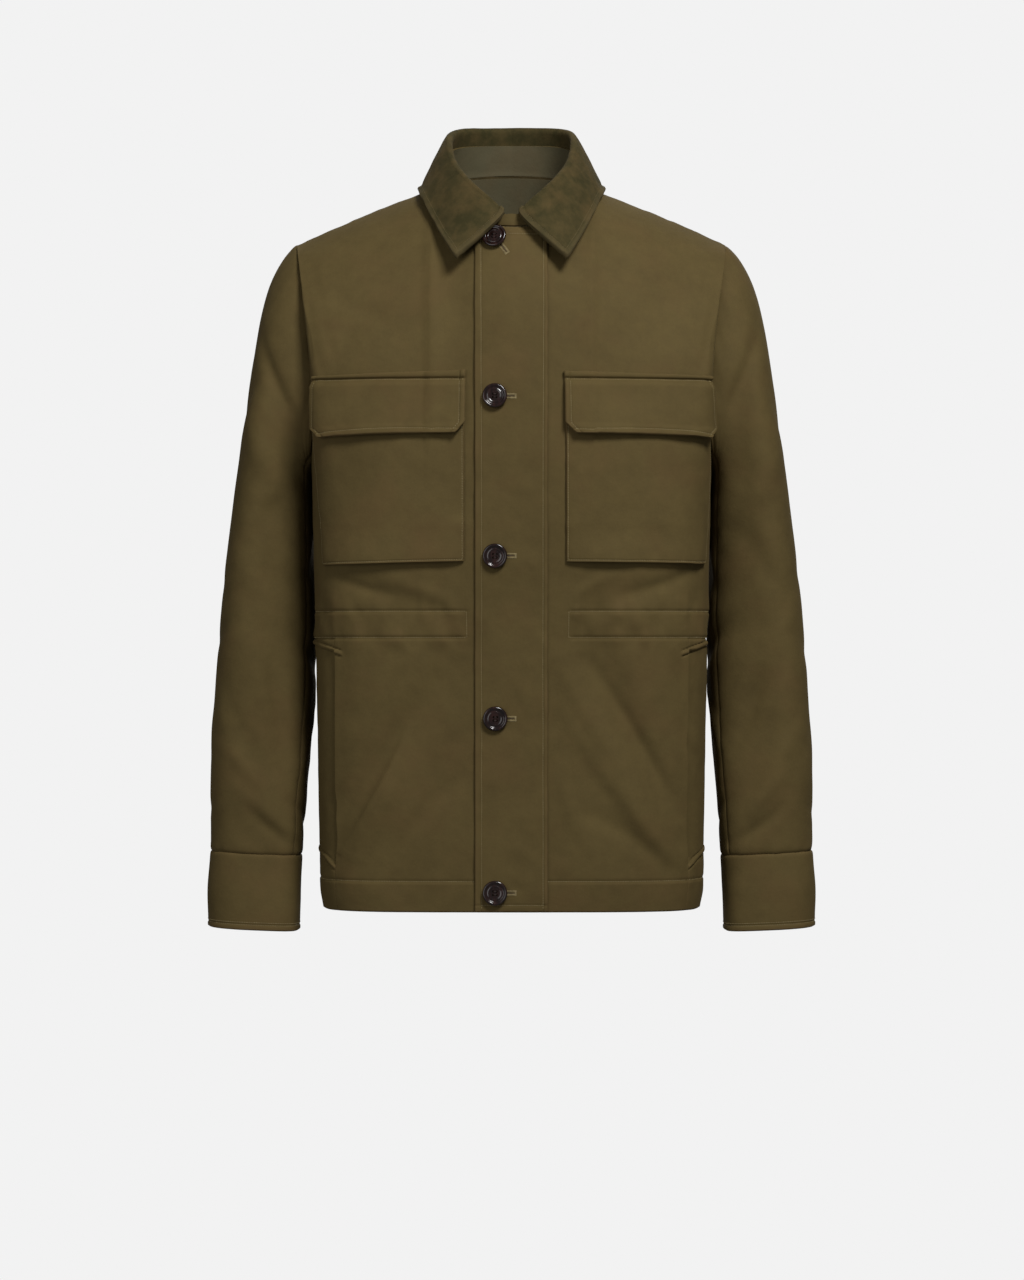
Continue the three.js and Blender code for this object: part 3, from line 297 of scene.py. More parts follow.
@dataclass(frozen=True)
class TorsoForm:
    """Torso of the jacket, with its folds. A half runs from share -1 to 1, from the hem at rise 0 to 2."""

    hem_z: float = -695.0
    hem_turn_z: float = -666.0
    join_z: float = -330.0
    casing_low_z: float = -437.0
    casing_top_z: float = -412.0
    neck_share: float = 0.36
    shoulder_share: float = 0.57
    pocket_share: float = 0.66
    lap_share: float = 0.137
    front_power: float = 4.3
    back_power: float = 2.5
    neck_half_width: float = 79.0
    neck_side_y: float = 6.0
    shoulder_lean: float = 0.925
    shoulder_bulge: float = 1.8
    # y, z, lean and bend at the middle of the neck ring
    neck_front: tuple[float, ...] = (-80.0, -45.0, 0.5, 5.0)
    neck_back: tuple[float, ...] = (70.0, 21.0, 0.32, 7.0)
    # level, half width, depth to the front, depth to the back
    sections: SmoothTable = SmoothTable(
        (
            (-695, 181, 123.5, 119),
            (-676, 184.2, 124, 120),
            (-600, 185.6, 123.5, 120),
            (-500, 187.2, 122, 117),
            (-430, 189, 122, 114),
            (-350, 190.5, 125.5, 117),
            (-330, 191.3, 126.5, 118.5),
        )
    )
    # turn from the shoulder over the front, x, y, z, lean, and the way the sleeve sets off
    armhole: SmoothTable = SmoothTable(
        (
            (-35, 205, 45, -95, 0.75, 0.85, 0.25, -0.45),
            (0, 208.4, 6, -53.6, 0.925, 0.76, 0, -0.65),
            (35, 200, -38, -95, 0.75, 0.85, -0.25, -0.45),
            (75, 190.5, -60, -175, 0.45, 0.8, -0.3, -0.5),
            (115, 190, -58, -235, 0.32, 0.7, -0.25, -0.65),
            (148, 192, -35, -265, 0.15, 0.5, -0.1, -0.85),
            (180, 194, 2, -275, 0, 0.4, 0, -0.92),
            (212, 197, 38, -265, 0.15, 0.5, 0.1, -0.85),
            (245, 199, 60, -225, 0.3, 0.7, 0.25, -0.65),
            (285, 201, 62, -160, 0.42, 0.8, 0.3, -0.5),
            (325, 205, 45, -95, 0.75, 0.85, 0.25, -0.45),
            (360, 208.4, 6, -53.6, 0.925, 0.76, 0, -0.65),
            (395, 200, -38, -95, 0.75, 0.85, -0.25, -0.45),
        )
    )
    front_folds: tuple[Fold, ...] = (
        Fold(-99, -495, -165, -640, 11, -3.4),
        Fold(-74, -492, -150, -640, 13, 3.2),
        Fold(-48, -450, -112, -556, 17, -3.6),
        Fold(74, -440, 158, -620, 17, -4),
        Fold(46, -458, 158, -660, 14, 3.6),
        Fold(-160, -385, -80, -405, 12, -2),
        Fold(160, -385, 80, -405, 12, -2),
    )
    back_folds: tuple[Fold, ...] = (
        Fold(-70, -452, -150, -640, 17, -4),
        Fold(60, -452, 140, -620, 18, -4),
        Fold(-20, -450, -34, -640, 20, 3.4),
        Fold(-165, -150, -110, -300, 18, 4),
        Fold(165, -150, 112, -290, 18, 4),
    )
    crumple: Crumple = Crumple()
    creases: tuple[Crease, ...] = (
        # lower fronts: the pulls from the waist casing to the hand pockets
        Crease(View.FRONT, -104, -470, -171, -640, 6.5, -1.5, 4),
        Crease(View.FRONT, -97, -519, -162, -640, 3.4, 1.5, -4),
        Crease(View.FRONT, -68, -488, -128, -586, 13, -1.7, 3),
        Crease(View.FRONT, 70, -456, 160, -606, 7, -2.1, -4),
        Crease(View.FRONT, 44, -500, 158, -654, 9, 1.6, 4),
        Crease(View.FRONT, -50, -452, -100, -540, 9, 1.0, -5),
        Crease(View.FRONT, -40, -560, -120, -655, 11, -1.1, 6),
        Crease(View.FRONT, -150, -560, -174, -612, 5, -1.2),
        Crease(View.FRONT, 70, -600, 160, -664, 9, -1.4, -5),
        Crease(View.FRONT, 60, -450, 92, -530, 9, -1.2, 4),
        Crease(View.FRONT, 150, -500, 176, -560, 7, -1.1),
        Crease(View.FRONT, 44, -560, 76, -640, 8, 0.9, 4),
        # between the pockets and the casing
        Crease(View.FRONT, -178, -372, -112, -398, 5, -1.1, 3),
        Crease(View.FRONT, -120, -384, -58, -404, 7, 0.9, -3),
        Crease(View.FRONT, 178, -370, 108, -396, 6, -1.1, -3),
        Crease(View.FRONT, 96, -378, 56, -402, 6, 0.9, 3),
        Crease(View.FRONT, -186, -300, -176, -380, 5, -1.2, 3),
        Crease(View.FRONT, 186, -290, 178, -380, 5, -1.2, -3),
        # chest and shoulders
        Crease(View.FRONT, -60, -100, -150, -170, 16, 0.9, 8),
        Crease(View.FRONT, 60, -98, 150, -165, 18, 0.9, -8),
        Crease(View.FRONT, -196, -120, -176, -196, 7, -1.3, 4),
        Crease(View.FRONT, 196, -112, 178, -190, 8, -1.3, -4),
        Crease(View.FRONT, -176, -110, -110, -150, 9, -0.8, -5),
        Crease(View.FRONT, 178, -105, 118, -140, 9, -0.8, 5),
        # back: shoulder blades, seat and the pulls into the casing
        Crease(View.BACK, -150, -100, -60, -150, 16, -1.4, 8),
        Crease(View.BACK, 150, -96, 66, -160, 15, -1.4, -8),
        Crease(View.BACK, -175, -210, -120, -290, 9, -1.6, 6),
        Crease(View.BACK, 172, -190, 128, -300, 10, -1.6, -6),
        Crease(View.BACK, -120, -340, -40, -398, 12, -1.5, 7),
        Crease(View.BACK, 118, -330, 30, -402, 13, -1.3, -8),
        Crease(View.BACK, -8, -350, 40, -406, 9, 1.1, 4),
        Crease(View.BACK, -112, -450, -84, -560, 9, -1.5, 6),
        Crease(View.BACK, 96, -448, 118, -590, 10, 1.4, -6),
        Crease(View.BACK, 24, -450, 6, -540, 10, -1.3, 5),
        Crease(View.BACK, -60, -570, -120, -660, 12, 1.3, -6),
        Crease(View.BACK, 40, -590, 130, -655, 12, -1.3, 6),
        # sides under the arms
        Crease(View.LEFT, -40, -330, 50, -380, 9, -1.6, 5),
        Crease(View.LEFT, 40, -450, -30, -560, 12, -1.6, 6),
        Crease(View.LEFT, -30, -470, 30, -620, 12, 1.4, -6),
        Crease(View.RIGHT, -46, -336, 44, -390, 10, -1.6, -5),
        Crease(View.RIGHT, 30, -455, -36, -580, 11, -1.5, 5),
        Crease(View.RIGHT, -20, -480, 40, -640, 13, 1.4, -5),
    )

    def ring(self, front: bool, share: Array, z: Array) -> Array:
        """Points of the level section at a height, for shares of a half."""
        angle = share * math.pi / 2
        width, ahead, behind = np.moveaxis(self.sections.at(z), -1, 0)
        depth = ahead if front else behind
        power = self.front_power if front else self.back_power
        sine, cosine = np.sin(angle), np.maximum(np.cos(angle), 0)
        reach = 1 / ((np.abs(sine) / width) ** power + (cosine / depth) ** power) ** (1 / power)
        return np.stack(np.broadcast_arrays(reach * sine, (-1 if front else 1) * reach * cosine, z), -1)

    def neck_turn(self, share: Array) -> Array:
        """Angle round the neck ring, from the middle of a half, for a share."""
        ratio = np.tan(np.clip(share, 0, 0.98) * math.pi / 2) / math.tan(self.neck_share * math.pi / 2)
        return np.arcsin(np.clip(ratio, -1, 1))

    def neck_point(self, front: bool, turn: Array) -> Array:
        """Point of the neck ring for an angle from the middle of a half."""
        y, z = (self.neck_front if front else self.neck_back)[:2]
        cosine = np.cos(turn)
        parts = (self.neck_half_width * np.sin(turn), self.neck_side_y + (y - self.neck_side_y) * cosine, z * cosine)
        return np.stack(parts, -1)

    def armhole_turn(self, front: bool, share: Array) -> Array:
        """Turn round the armhole for a share beyond the shoulder."""
        turn = (share - self.shoulder_share) / (1 - self.shoulder_share) * 180
        return turn if front else 360 - turn

    def top(self, front: bool, share: Array) -> tuple[Array, Array]:
        """Top border of the torso.

        Args:
            front: Whether it is the front half.
            share: Shares from 0 to 1.

        Returns:
            The points, and how far the cloth leans back there.
        """
        lean, bend = (self.neck_front if front else self.neck_back)[2:]
        k = np.clip(share / self.neck_share, 0, 1) ** bend
        neck = self.neck_point(front, self.neck_turn(share))
        neck_lean = lean + (self.shoulder_lean - lean) * k
        span = self.shoulder_share - self.neck_share
        k = np.clip((share - self.neck_share) / span, 0, 1)[..., None]
        inner = self.neck_point(True, np.array(math.pi / 2))
        outer = self.armhole.at(np.array(0.0))[:3]
        shoulder = inner * (1 - k) + outer * k
        shoulder = shoulder + np.array([0, 0, self.shoulder_bulge]) * np.sin(math.pi * k)
        hole = self.armhole.at(self.armhole_turn(front, np.maximum(share, self.shoulder_share)))
        at_neck, at_shoulder = share <= self.neck_share, share <= self.shoulder_share
        points = np.where(at_neck[..., None], neck, np.where(at_shoulder[..., None], shoulder, hole[..., :3]))
        leans = np.where(at_neck, neck_lean, np.where(at_shoulder, self.shoulder_lean, hole[..., 3]))
        return points, leans

    def base(self, front: bool, share: Array, rise: Array) -> Array:
        """Smooth torso without folds."""
        share, rise = np.broadcast_arrays(np.asarray(share, float), np.asarray(rise, float))
        low = self.ring(front, share, self.hem_z + (self.join_z - self.hem_z) * np.minimum(rise, 1))
        positive = np.abs(share)
        start = self.ring(front, positive, np.full(share.shape, self.join_z))
        point, lean = self.top(front, positive)
        reach = np.linalg.norm(point - start, axis=-1, keepdims=True)
        leave = np.array([0, 0, 1.0]) * reach
        tilt = lean if front else -lean
        arrive = np.stack([np.zeros_like(lean), tilt, np.sqrt(1 - lean * lean)], -1) * reach
        high = hermite(start, point, leave, arrive, np.clip(rise - 1, 0, 1)[..., None])
        high = np.where((share < 0)[..., None], flipped(high), high)
        return np.where((rise <= 1)[..., None], low, high)

    def facing(self, front: bool, share: Array, rise: Array) -> Array:
        """Directions out of the smooth torso, turned evenly across the corner of shoulder and armhole."""
        a, b = np.broadcast_arrays(np.clip(share, -0.995, 0.995), np.clip(rise, 0.005, 1.99))
        start, end = self.shoulder_share - 0.015, self.shoulder_share + 0.065

        def out(at: Array) -> Array:
            """Directions at other shares of the same rows."""
            found = normals_of(lambda s, r: self.base(front, s, r), at, b, (0.004, 0.004))
            return found if front else -found

        k = (np.abs(a) - start) / (end - start)
        sense = np.where(a < 0, -1.0, 1.0)
        turning = (k > 0) & (k < 1) & (b > 1)
        even = soft_step(k)[..., None]
        turned = unit(out(sense * start) * (1 - even) + out(sense * end) * even)
        return np.where(turning[..., None], turned, out(a))

    def lines(self, points: Array, facing: Array) -> Array:
        """Troughs and gathers along the sewn lines that cross the body, in millimetres."""
        x, z = points[..., 0], points[..., 2]
        ahead = facing[..., 1] < 0
        start = np.where(ahead, np.where(x < 0, x + 42, 53.6 - x), -1.0)
        drawn = soft_step(-start / 3)
        height = np.zeros(x.shape)
        run = np.arctan2(points[..., 1], x) * 190
        for level, seed in ((self.casing_low_z, 11), (self.casing_top_z, 12)):
            off = z - level
            gather = lattice_noise(np.stack([run / 7.5, off / 16, off * 0 + seed], -1), seed)
            wide = lattice_noise(np.stack([run / 19, off / 30, off * 0 + seed], -1), seed + 5)
            reach = np.exp(-((off / 15) ** 2))
            height += drawn * ((1.0 * gather + 1.5 * wide) * reach - 1.15 * np.exp(-((off / 1.7) ** 2)))
        off = z - self.hem_turn_z
        ripple = lattice_noise(np.stack([run / 12, off / 20, off * 0 + 7], -1), 31)
        height += 0.75 * ripple * np.exp(-((off / 14) ** 2)) - 0.8 * np.exp(-((off / 1.5) ** 2))
        return height + 0.25 * soft_step((self.hem_turn_z - z) / 2)

    def lift(self, front: bool, share: Array, points: Array, facing: Array) -> Array:
        """Height of every fold, crease and swell over the smooth torso."""
        folds = self.front_folds if front else self.back_folds
        fade = np.minimum(1, (1 - np.abs(share)) / 0.2)
        height = 1.45 * fold_height(folds, points[..., 0], points[..., 2]) * fade
        for crease in self.creases:
            height = height + crease.lift(points, facing)
        calm = 1 - 0.8 * soft_step((points[..., 2] + 115) / 50)
        return height + self.crumple.lift(points) * calm

    def eased(self, front: bool, share: Array, rise: Array) -> Array:
        """Smooth torso, evened out below the corner where the shoulder meets the armhole."""
        near = np.exp(-(((np.abs(share) - self.shoulder_share) / 0.075) ** 2))
        reach = 0.055 * near * soft_step((2 - rise) / 0.2) * soft_step((rise - 1) / 0.15)
        steps = ((1.0, -1.5), (2.0, -0.75), (2.6, 0.0), (2.0, 0.75), (1.0, 1.5))
        total = sum(weight * self.base(front, share + step * reach, rise) for weight, step in steps)
        return total / sum(weight for weight, _ in steps)

    def dressed(self, front: bool, share: Array, rise: Array) -> Array:
        """Torso with its folds and creases."""
        share, rise = np.broadcast_arrays(np.asarray(share, float), np.asarray(rise, float))
        points, facing = self.eased(front, share, rise), self.facing(front, share, rise)
        return points + facing * self.lift(front, share, points, facing)[..., None]

    def find_on_front(self, x: Array, z: Array) -> tuple[Array, Array]:
        """Share and rise of the front that lie at places of the front view.

        Args:
            x: Places across.
            z: Places up.

        Returns:
            The shares and the rises.
        """
        x, z = np.broadcast_arrays(np.asarray(x, float), np.asarray(z, float))
        share = np.arctan(x / 126) / (math.pi / 2)
        low = (z - self.hem_z) / (self.join_z - self.hem_z)
        rise = np.where(z < self.join_z, low, 1 + (z - self.join_z) / -(self.join_z + 40))
        e = 0.002
        for _ in range(9):
            p = self.eased(True, share, rise)
            ds = (self.eased(True, share + e, rise) - p) / e
            dr = (self.eased(True, share, rise + e) - p) / e
            det = ds[..., 0] * dr[..., 2] - ds[..., 2] * dr[..., 0]
            ex, ez = x - p[..., 0], z - p[..., 2]
            share = share + np.clip((ex * dr[..., 2] - ez * dr[..., 0]) / det, -0.1, 0.1)
            rise = rise + np.clip((ez * ds[..., 0] - ex * ds[..., 2]) / det, -0.2, 0.2)
            rise, share = np.clip(rise, 0, 1.998), np.clip(share, -0.97, 0.97)
        return share, rise

    def on_front(self, x: Array, z: Array, lift: Array | float) -> tuple[Array, Array]:
        """Places on the dressed front, moved out.

        Args:
            x: Places across the front view.
            z: Places up it.
            lift: How far they are moved out.

        Returns:
            The points, and the directions out of the cloth.
        """
        share, rise = self.find_on_front(x, z)
        a, b = np.clip(share, -0.98, 0.98), np.clip(rise, 0.012, 1.985)
        out = normals_of(lambda s, r: self.dressed(True, s, r), a, b, (0.01, 0.01))
        return self.dressed(True, share, rise) + out * np.asarray(lift)[..., None], out


@dataclass(frozen=True)
class SleeveForm:
    """Sleeve from the armhole at 0 to the cuff seam at 1 and its end, with turns in degrees."""

    torso: TorsoForm
    first: float = 0.2
    end: float = 1.12
    flat_inside: float = 3.0
    close_z: float = -292.0
    close: float = 2.6
    power: float = 2.3
    # along, outermost x y z, innermost x y z, depth to the front and to the back
    sections: SmoothTable = SmoothTable(
        (
            (0.2, 250.6, 4, -168, 196, 16, -284, 71, 72),
            (0.28, 255.8, 0, -205, 195.5, 26, -300, 73, 74),
            (0.36, 261, -3, -243, 194, 30, -322, 73, 74),
            (0.48, 269.8, -5, -309, 192.8, 32, -362, 70, 71),
            (0.6, 278, -5, -376, 191.6, 30, -412, 66, 67),
            (0.72, 284, -7, -443, 191.6, 24, -467, 62, 63),
            (0.82, 288.2, -10, -508, 194.2, 14, -522, 57, 58),
            (0.91, 290.8, -15, -574, 198.6, 2, -582, 50, 51),
            (1, 290.6, -19, -641.5, 203, -10, -646, 42, 42),
            (1.06, 293, -23, -679, 204.6, -16, -683, 41, 41),
            (1.12, 292, -25, -714.5, 205.6, -20, -718.5, 40, 40),
        )
    )
    # large folds by side and by face, front then back
    folds: dict[Side, tuple[tuple[Fold, ...], tuple[Fold, ...]]] = field(
        default_factory=lambda: {
            Side.RIGHT: (
                (
                    Fold(-240, -160, -208, -246, 11, -4),
                    Fold(-262, -420, -214, -540, 13, 3),
                    Fold(-230, -505, -206, -592, 10, -4),
                    Fold(-260, -582, -206, -630, 8, 3),
                ),
                (Fold(-262, -380, -206, -410, 10, -4), Fold(-262, -440, -206, -430, 10, -4)),
            ),
            Side.LEFT: (
                (
                    Fold(238, -150, 206, -240, 12, -4),
                    Fold(272, -430, 218, -520, 13, -3),
                    Fold(266, -560, 212, -622, 9, 3),
                ),
                (Fold(266, -370, 208, -404, 10, -4), Fold(262, -446, 206, -430, 10, -4)),
            ),
        }
    )
    crumple: Crumple = Crumple(broad=0.95, broad_size=42, seed=17)
    creases: tuple[Crease, ...] = (
        # wearer's right sleeve, in front
        Crease(View.FRONT, -244, -138, -206, -226, 7, -1.5, 5),
        Crease(View.FRONT, -262, -200, -214, -300, 14, 1.2, 7),
        Crease(View.FRONT, -216, -300, -258, -372, 10, -1.1, 6),
        Crease(View.FRONT, -272, -350, -226, -430, 12, 1.1, -6),
        Crease(View.FRONT, -232, -460, -204, -548, 8, -1.7, 6),
        Crease(View.FRONT, -280, -470, -238, -560, 11, -1.2, 5),
        Crease(View.FRONT, -276, -540, -228, -606, 9, 1.3, -5),
        Crease(View.FRONT, -250, -600, -208, -636, 6, -1.3, 3),
        # wearer's left sleeve, in front
        Crease(View.FRONT, 240, -128, 208, -214, 8, -1.5, -5),
        Crease(View.FRONT, 266, -230, 216, -320, 13, 1.1, -7),
        Crease(View.FRONT, 214, -330, 262, -412, 11, -1.2, -6),
        Crease(View.FRONT, 276, -380, 236, -470, 12, -1.1, 6),
        Crease(View.FRONT, 236, -470, 204, -560, 9, -1.5, -6),
        Crease(View.FRONT, 282, -520, 234, -600, 10, 1.2, 6),
        Crease(View.FRONT, 262, -596, 212, -634, 6, -1.3, -3),
        # outsides
        Crease(View.RIGHT, -50, -180, 30, -250, 14, -1.5, 8),
        Crease(View.RIGHT, 50, -330, -30, -392, 12, -1.7, -7),
        Crease(View.RIGHT, -50, -420, 40, -462, 11, -1.9, 6),
        Crease(View.RIGHT, 30, -480, -46, -560, 12, 1.5, 6),
        Crease(View.RIGHT, -44, -590, 16, -630, 7, -1.3, -3),
        Crease(View.LEFT, -52, -190, 34, -270, 14, -1.5, 8),
        Crease(View.LEFT, 48, -316, -34, -384, 12, -1.7, -7),
        Crease(View.LEFT, -48, -432, 42, -470, 11, -1.9, 6),
        Crease(View.LEFT, 34, -490, -44, -575, 12, 1.5, 6),
        Crease(View.LEFT, -46, -596, 18, -632, 7, -1.3, -3),
        # behind, round the elbow
        Crease(View.BACK, -262, -160, -212, -240, 12, -1.7, 6),
        Crease(View.BACK, -272, -350, -210, -384, 7, -1.7, 4),
        Crease(View.BACK, -270, -414, -208, -420, 6, 1.5, 3),
        Crease(View.BACK, -276, -470, -212, -456, 7, -1.7, -4),
        Crease(View.BACK, -266, -540, -214, -600, 10, -1.3, 5),
        Crease(View.BACK, 260, -150, 212, -236, 12, -1.7, -6),
        Crease(View.BACK, 274, -340, 210, -376, 7, -1.7, -4),
        Crease(View.BACK, 272, -406, 208, -416, 6, 1.5, -3),
        Crease(View.BACK, 276, -476, 212, -462, 7, -1.7, 4),
        Crease(View.BACK, 268, -548, 214, -606, 10, -1.3, -5),
    )

    def ring(self, along: Array, turn: Array) -> Array:
        """Points of a section on the wearer's left."""
        row = self.sections.at(along)
        out, inn = row[..., 0:3], row[..., 3:6]
        angle = np.radians(turn)
        c, s = np.cos(angle), np.sin(angle)
        power = self.power + self.flat_inside * np.maximum(-c, 0) * np.maximum(s, 0)
        reach = 1 / (np.abs(c) ** power + np.abs(s) ** power) ** (1 / power)
        depth = np.where(s > 0, row[..., 6], row[..., 7])
        points = (out + inn) * 0.5 + (out - inn) * (0.5 * reach * c)[..., None]
        points[..., 1] -= depth * reach * s
        return points

    def base(self, along: Array, turn: Array) -> Array:
        """Smooth sleeve on the wearer's left, carried over the sleeve head."""
        along, turn = np.broadcast_arrays(np.asarray(along, float), np.asarray(turn, float))
        turn = np.mod(turn, 360)
        first = np.full(along.shape, self.first)
        lower = self.ring(np.maximum(along, self.first), turn)
        hole = self.torso.armhole.at(turn)
        start, go = hole[..., :3], hole[..., 4:7]
        end = self.ring(first, turn)
        reach = np.linalg.norm(end - start, axis=-1, keepdims=True)
        arrive = unit(self.ring(first + 0.02, turn) - end) * reach
        k = np.clip(along / self.first, 0, 1)[..., None]
        upper = hermite(start, end, unit(go) * reach, arrive, k)
        return np.where((along >= self.first)[..., None], lower, upper)

    def facing(self, along: Array, turn: Array) -> Array:
        """Directions out of the smooth sleeve on the wearer's left."""
        a = np.clip(along, 0.012, self.end - 0.006)
        return -normals_of(self.base, a, turn, (0.006, 1.5))

    def dressed(self, side: Side, along: Array, turn: Array) -> tuple[Array, Array]:
        """Sleeve with its folds and creases.

        Args:
            side: Which sleeve.
            along: Shares of the way down.
            turn: Turns in degrees.

        Returns:
            The points, and the directions out of the smooth sleeve.
        """
        along, turn = np.broadcast_arrays(np.asarray(along, float), np.asarray(turn, float))
        points, facing = self.base(along, turn), self.facing(along, turn)
        if side is Side.RIGHT:
            points, facing = flipped(points), flipped(facing)
        ahead, behind = self.folds[side]
        x, z = points[..., 0], points[..., 2]
        front = np.sin(np.radians(turn)) > 0
        height = np.where(front, fold_height(ahead, x, z), fold_height(behind, x, z))
        height = height * np.sin(np.radians(turn)) ** 2 * np.minimum(1, along / 0.1) * (along <= 1)
        soft = np.zeros(along.shape)
        for crease in self.creases:
            soft = soft + crease.lift(points, facing)
        soft = soft * (1 - 0.75 * soft_step((along - 0.985) / 0.02))
        height = height + soft + self.crumple.lift(points) * np.where(along > 1, 0.6, 1)
        height = height * (1 - 0.6 * np.maximum(np.cos(np.radians(turn)), 0) ** 6)
        inner = np.maximum(-np.cos(np.radians(turn)), 0) ** 2
        nearer = self.close * inner * np.exp(-(((z - self.close_z) / 42) ** 2))
        dressed = points + facing * height[..., None]
        dressed[..., 0] -= side.value * nearer
        return dressed, facing


@dataclass(frozen=True)
class CollarForm:
    """Collar: its stand from the neck ring, and the leaf that turns down over it. Turns are in degrees."""

    torso: TorsoForm
    start: float = 4.4
    # turn, top of the fold x y z, outer edge of the leaf x y z, roll, radius, puff
    sections: SmoothTable = SmoothTable(
        (
            (0, 0, -77.5, -32.7, 45, -104, -74, 0, 0.5, 1.2),
            (5, 7, -77, -30, 52.5, -107, -77, 0.6, 2.8, 1.2),
            (18, 18, -73, -19, 60, -95, -67, 2, 3.4, 1),
            (32, 29.5, -66, -8, 67, -80, -55, 4, 3.8, 0.7),
            (45, 40, -55, 4, 75, -61, -39, 6, 4, 0.45),
            (68, 51, -30, 22, 86, -30, -15, 9, 4, 0.3),
            (90, 55.5, -4, 42, 91, 3, -2.5, 12, 4, 0.25),
            (112, 54, 19, 55, 87, 38, 1, 13, 4, 0.25),
            (135, 45, 39, 62, 67, 66, 3, 13, 4, 0.25),
            (158, 25, 54, 65.5, 36, 85, 5, 13, 4, 0.25),
            (180, 0, 60, 66.5, 0, 91, 6, 13, 4, 0.25),
        )
    )

    def root(self, turn: Array) -> Array:
        """Point of the neck ring for a turn from the centre front."""
        angle = np.radians(turn)
        ahead = self.torso.neck_point(True, np.minimum(angle, math.pi / 2))
        behind = self.torso.neck_point(False, math.pi - np.maximum(angle, math.pi / 2))
        return np.where((turn <= 90)[..., None], ahead, behind)

    def parts(self, turn: Array) -> tuple[Array, ...]:
        """Frame of the collar on the wearer's left.

        Args:
            turn: Turns from 0 to 180.

        Returns:
            Root, up, out, radius, crest, leaf seam, leaf edge and puff.
        """
        row = self.sections.at(turn)
        root, top = self.root(turn), row[..., 0:3]
        up = unit(top - root)
        after = self.sections.at(np.minimum(turn + 2, 180))[..., :3]
        before = self.sections.at(np.maximum(turn - 2, 0))[..., :3]
        sideways = np.cross(up, unit(after - before))
        centre = np.stack([0 * turn, 0 * turn - 5, top[..., 2]], -1)
        sense = np.where(np.sum(sideways * (top - centre), -1, keepdims=True) < 0, -1, 1)
        out = unit(sideways) * sense
        radius = row[..., 7:8]
        crest = top - up * radius
        return root, up, out, radius, crest, crest - up * row[..., 6:7], row[..., 3:6], row[..., 8:9]

    def leaf(self, turn: Array, across: Array) -> Array:
        """Leaf from inside the fold at 0, over the roll, to its edge at 1, on both sides."""
        turn, across = np.broadcast_arrays(np.asarray(turn, float), np.asarray(across, float))
        own = np.where(turn <= 180, turn, 360 - turn)
        _, up, out, radius, crest, seam, end, puff = self.parts(own)
        k = across[..., None]
        inside = seam + (crest - seam) * np.clip(k / 0.2, 0, 1)
        angle = np.clip((k - 0.2) / 0.2, 0, 1) * math.pi
        roll = crest + out * radius - out * np.cos(angle) * radius + up * np.sin(angle) * radius
        start = crest + out * 2 * radius
        reach = np.linalg.norm(end - start, axis=-1, keepdims=True) * 0.7
        leave, arrive = unit(out * puff - up) * reach, unit(end - start) * reach
        fall = hermite(start, end, leave, arrive, np.clip((k - 0.4) / 0.6, 0, 1))
        points = np.where(k < 0.2, inside, np.where(k < 0.4, roll, fall))
        return np.where((turn > 180)[..., None], flipped(points), points)

    def leaf_facing(self, turn: Array, across: Array) -> Array:
        """Directions out of the leaf."""
        turn = np.clip(turn, self.start + 1.5, 358.5 - self.start)
        return -normals_of(self.leaf, turn, np.clip(across, 0.012, 0.988), (1.5, 0.01))

    def stand(self, turn: Array, up: Array) -> Array:
        """Stand from the neck ring at 0 to the leaf seam at 1, on both sides."""
        turn, up = np.broadcast_arrays(np.mod(turn, 360).astype(float), np.asarray(up, float))
        own = np.where(turn <= 180, turn, 360 - turn)
        parts = self.parts(own)
        points = parts[0] + (parts[5] - parts[0]) * up[..., None]
        return np.where((turn > 180)[..., None], flipped(points), points)

    def stand_facing(self, turn: Array, up: Array) -> Array:
        """Directions out of the stand."""
        return normals_of(self.stand, turn, np.clip(up, 0.02, 0.98), (1.5, 0.02))


# Panels


@dataclass(frozen=True)
class Edge:
    """How a border of a panel is finished, in millimetres."""

    stitch: float = 0.0
    border: float = 0.0
    sink: float = 0.0
    pucker: float = 0.0
    pitch: float = 9.0
    rounding: float = 0.9
    seed: int = 5

    def soft(self, away: Array, run: Array) -> Array:
        """Height of the seam's trough, its raised border and its puckers.

        Args:
            away: Distance from the border.
            run: Distance along the border.

        Returns:
            Heights in millimetres.
        """
        height = -self.sink * np.exp(-((away / 3.0) ** 2))
        if self.stitch:
            raised = soft_step(away / 1.4) * (1 - soft_step((away - self.stitch + 1.3) / 1.2))
            height = height + self.border * raised
            height = height - 0.5 * np.exp(-(((away - self.stitch) / 0.85) ** 2))
        if self.pucker:
            wave = lattice_noise(np.stack([run / self.pitch, away / 16, run * 0 + self.seed], -1), self.seed)
            height = height + self.pucker * wave * np.exp(-((away / 13) ** 2))
        return height

    def rounded(self, away: Array) -> Array:
        """Height lost by the rounding of the border itself."""
        if not self.rounding:
            return np.zeros(away.shape)
        gap = np.clip(self.rounding - away, 0, self.rounding)
        return np.sqrt(self.rounding**2 - gap**2) - self.rounding


def spaced(length: float, fine: Sequence[tuple[float, float]], coarse_step: float, fine_step: float) -> Array:
    """Shares of a length, close together where detail is fine.

    Args:
        length: The length in millimetres.
        fine: Stretches that need detail, in millimetres from the start.
        coarse_step: Step elsewhere.
        fine_step: Step in those stretches.

    Returns:
        Shares from 0 to 1.
    """
    places = [0.0]
    while places[-1] < length:
        here = places[-1]
        near = any(a - 0.01 <= here < b for a, b in fine)
        nxt = here + (fine_step if near else coarse_step)
        starts = [a for a, _ in fine if here + 0.01 < a < nxt]
        places.append(min(starts) if starts and not near else nxt)
    places[-1] = length
    if len(places) > 2 and places[-1] - places[-2] < 0.3:
        places.pop(-2)
    return np.array(places) / length


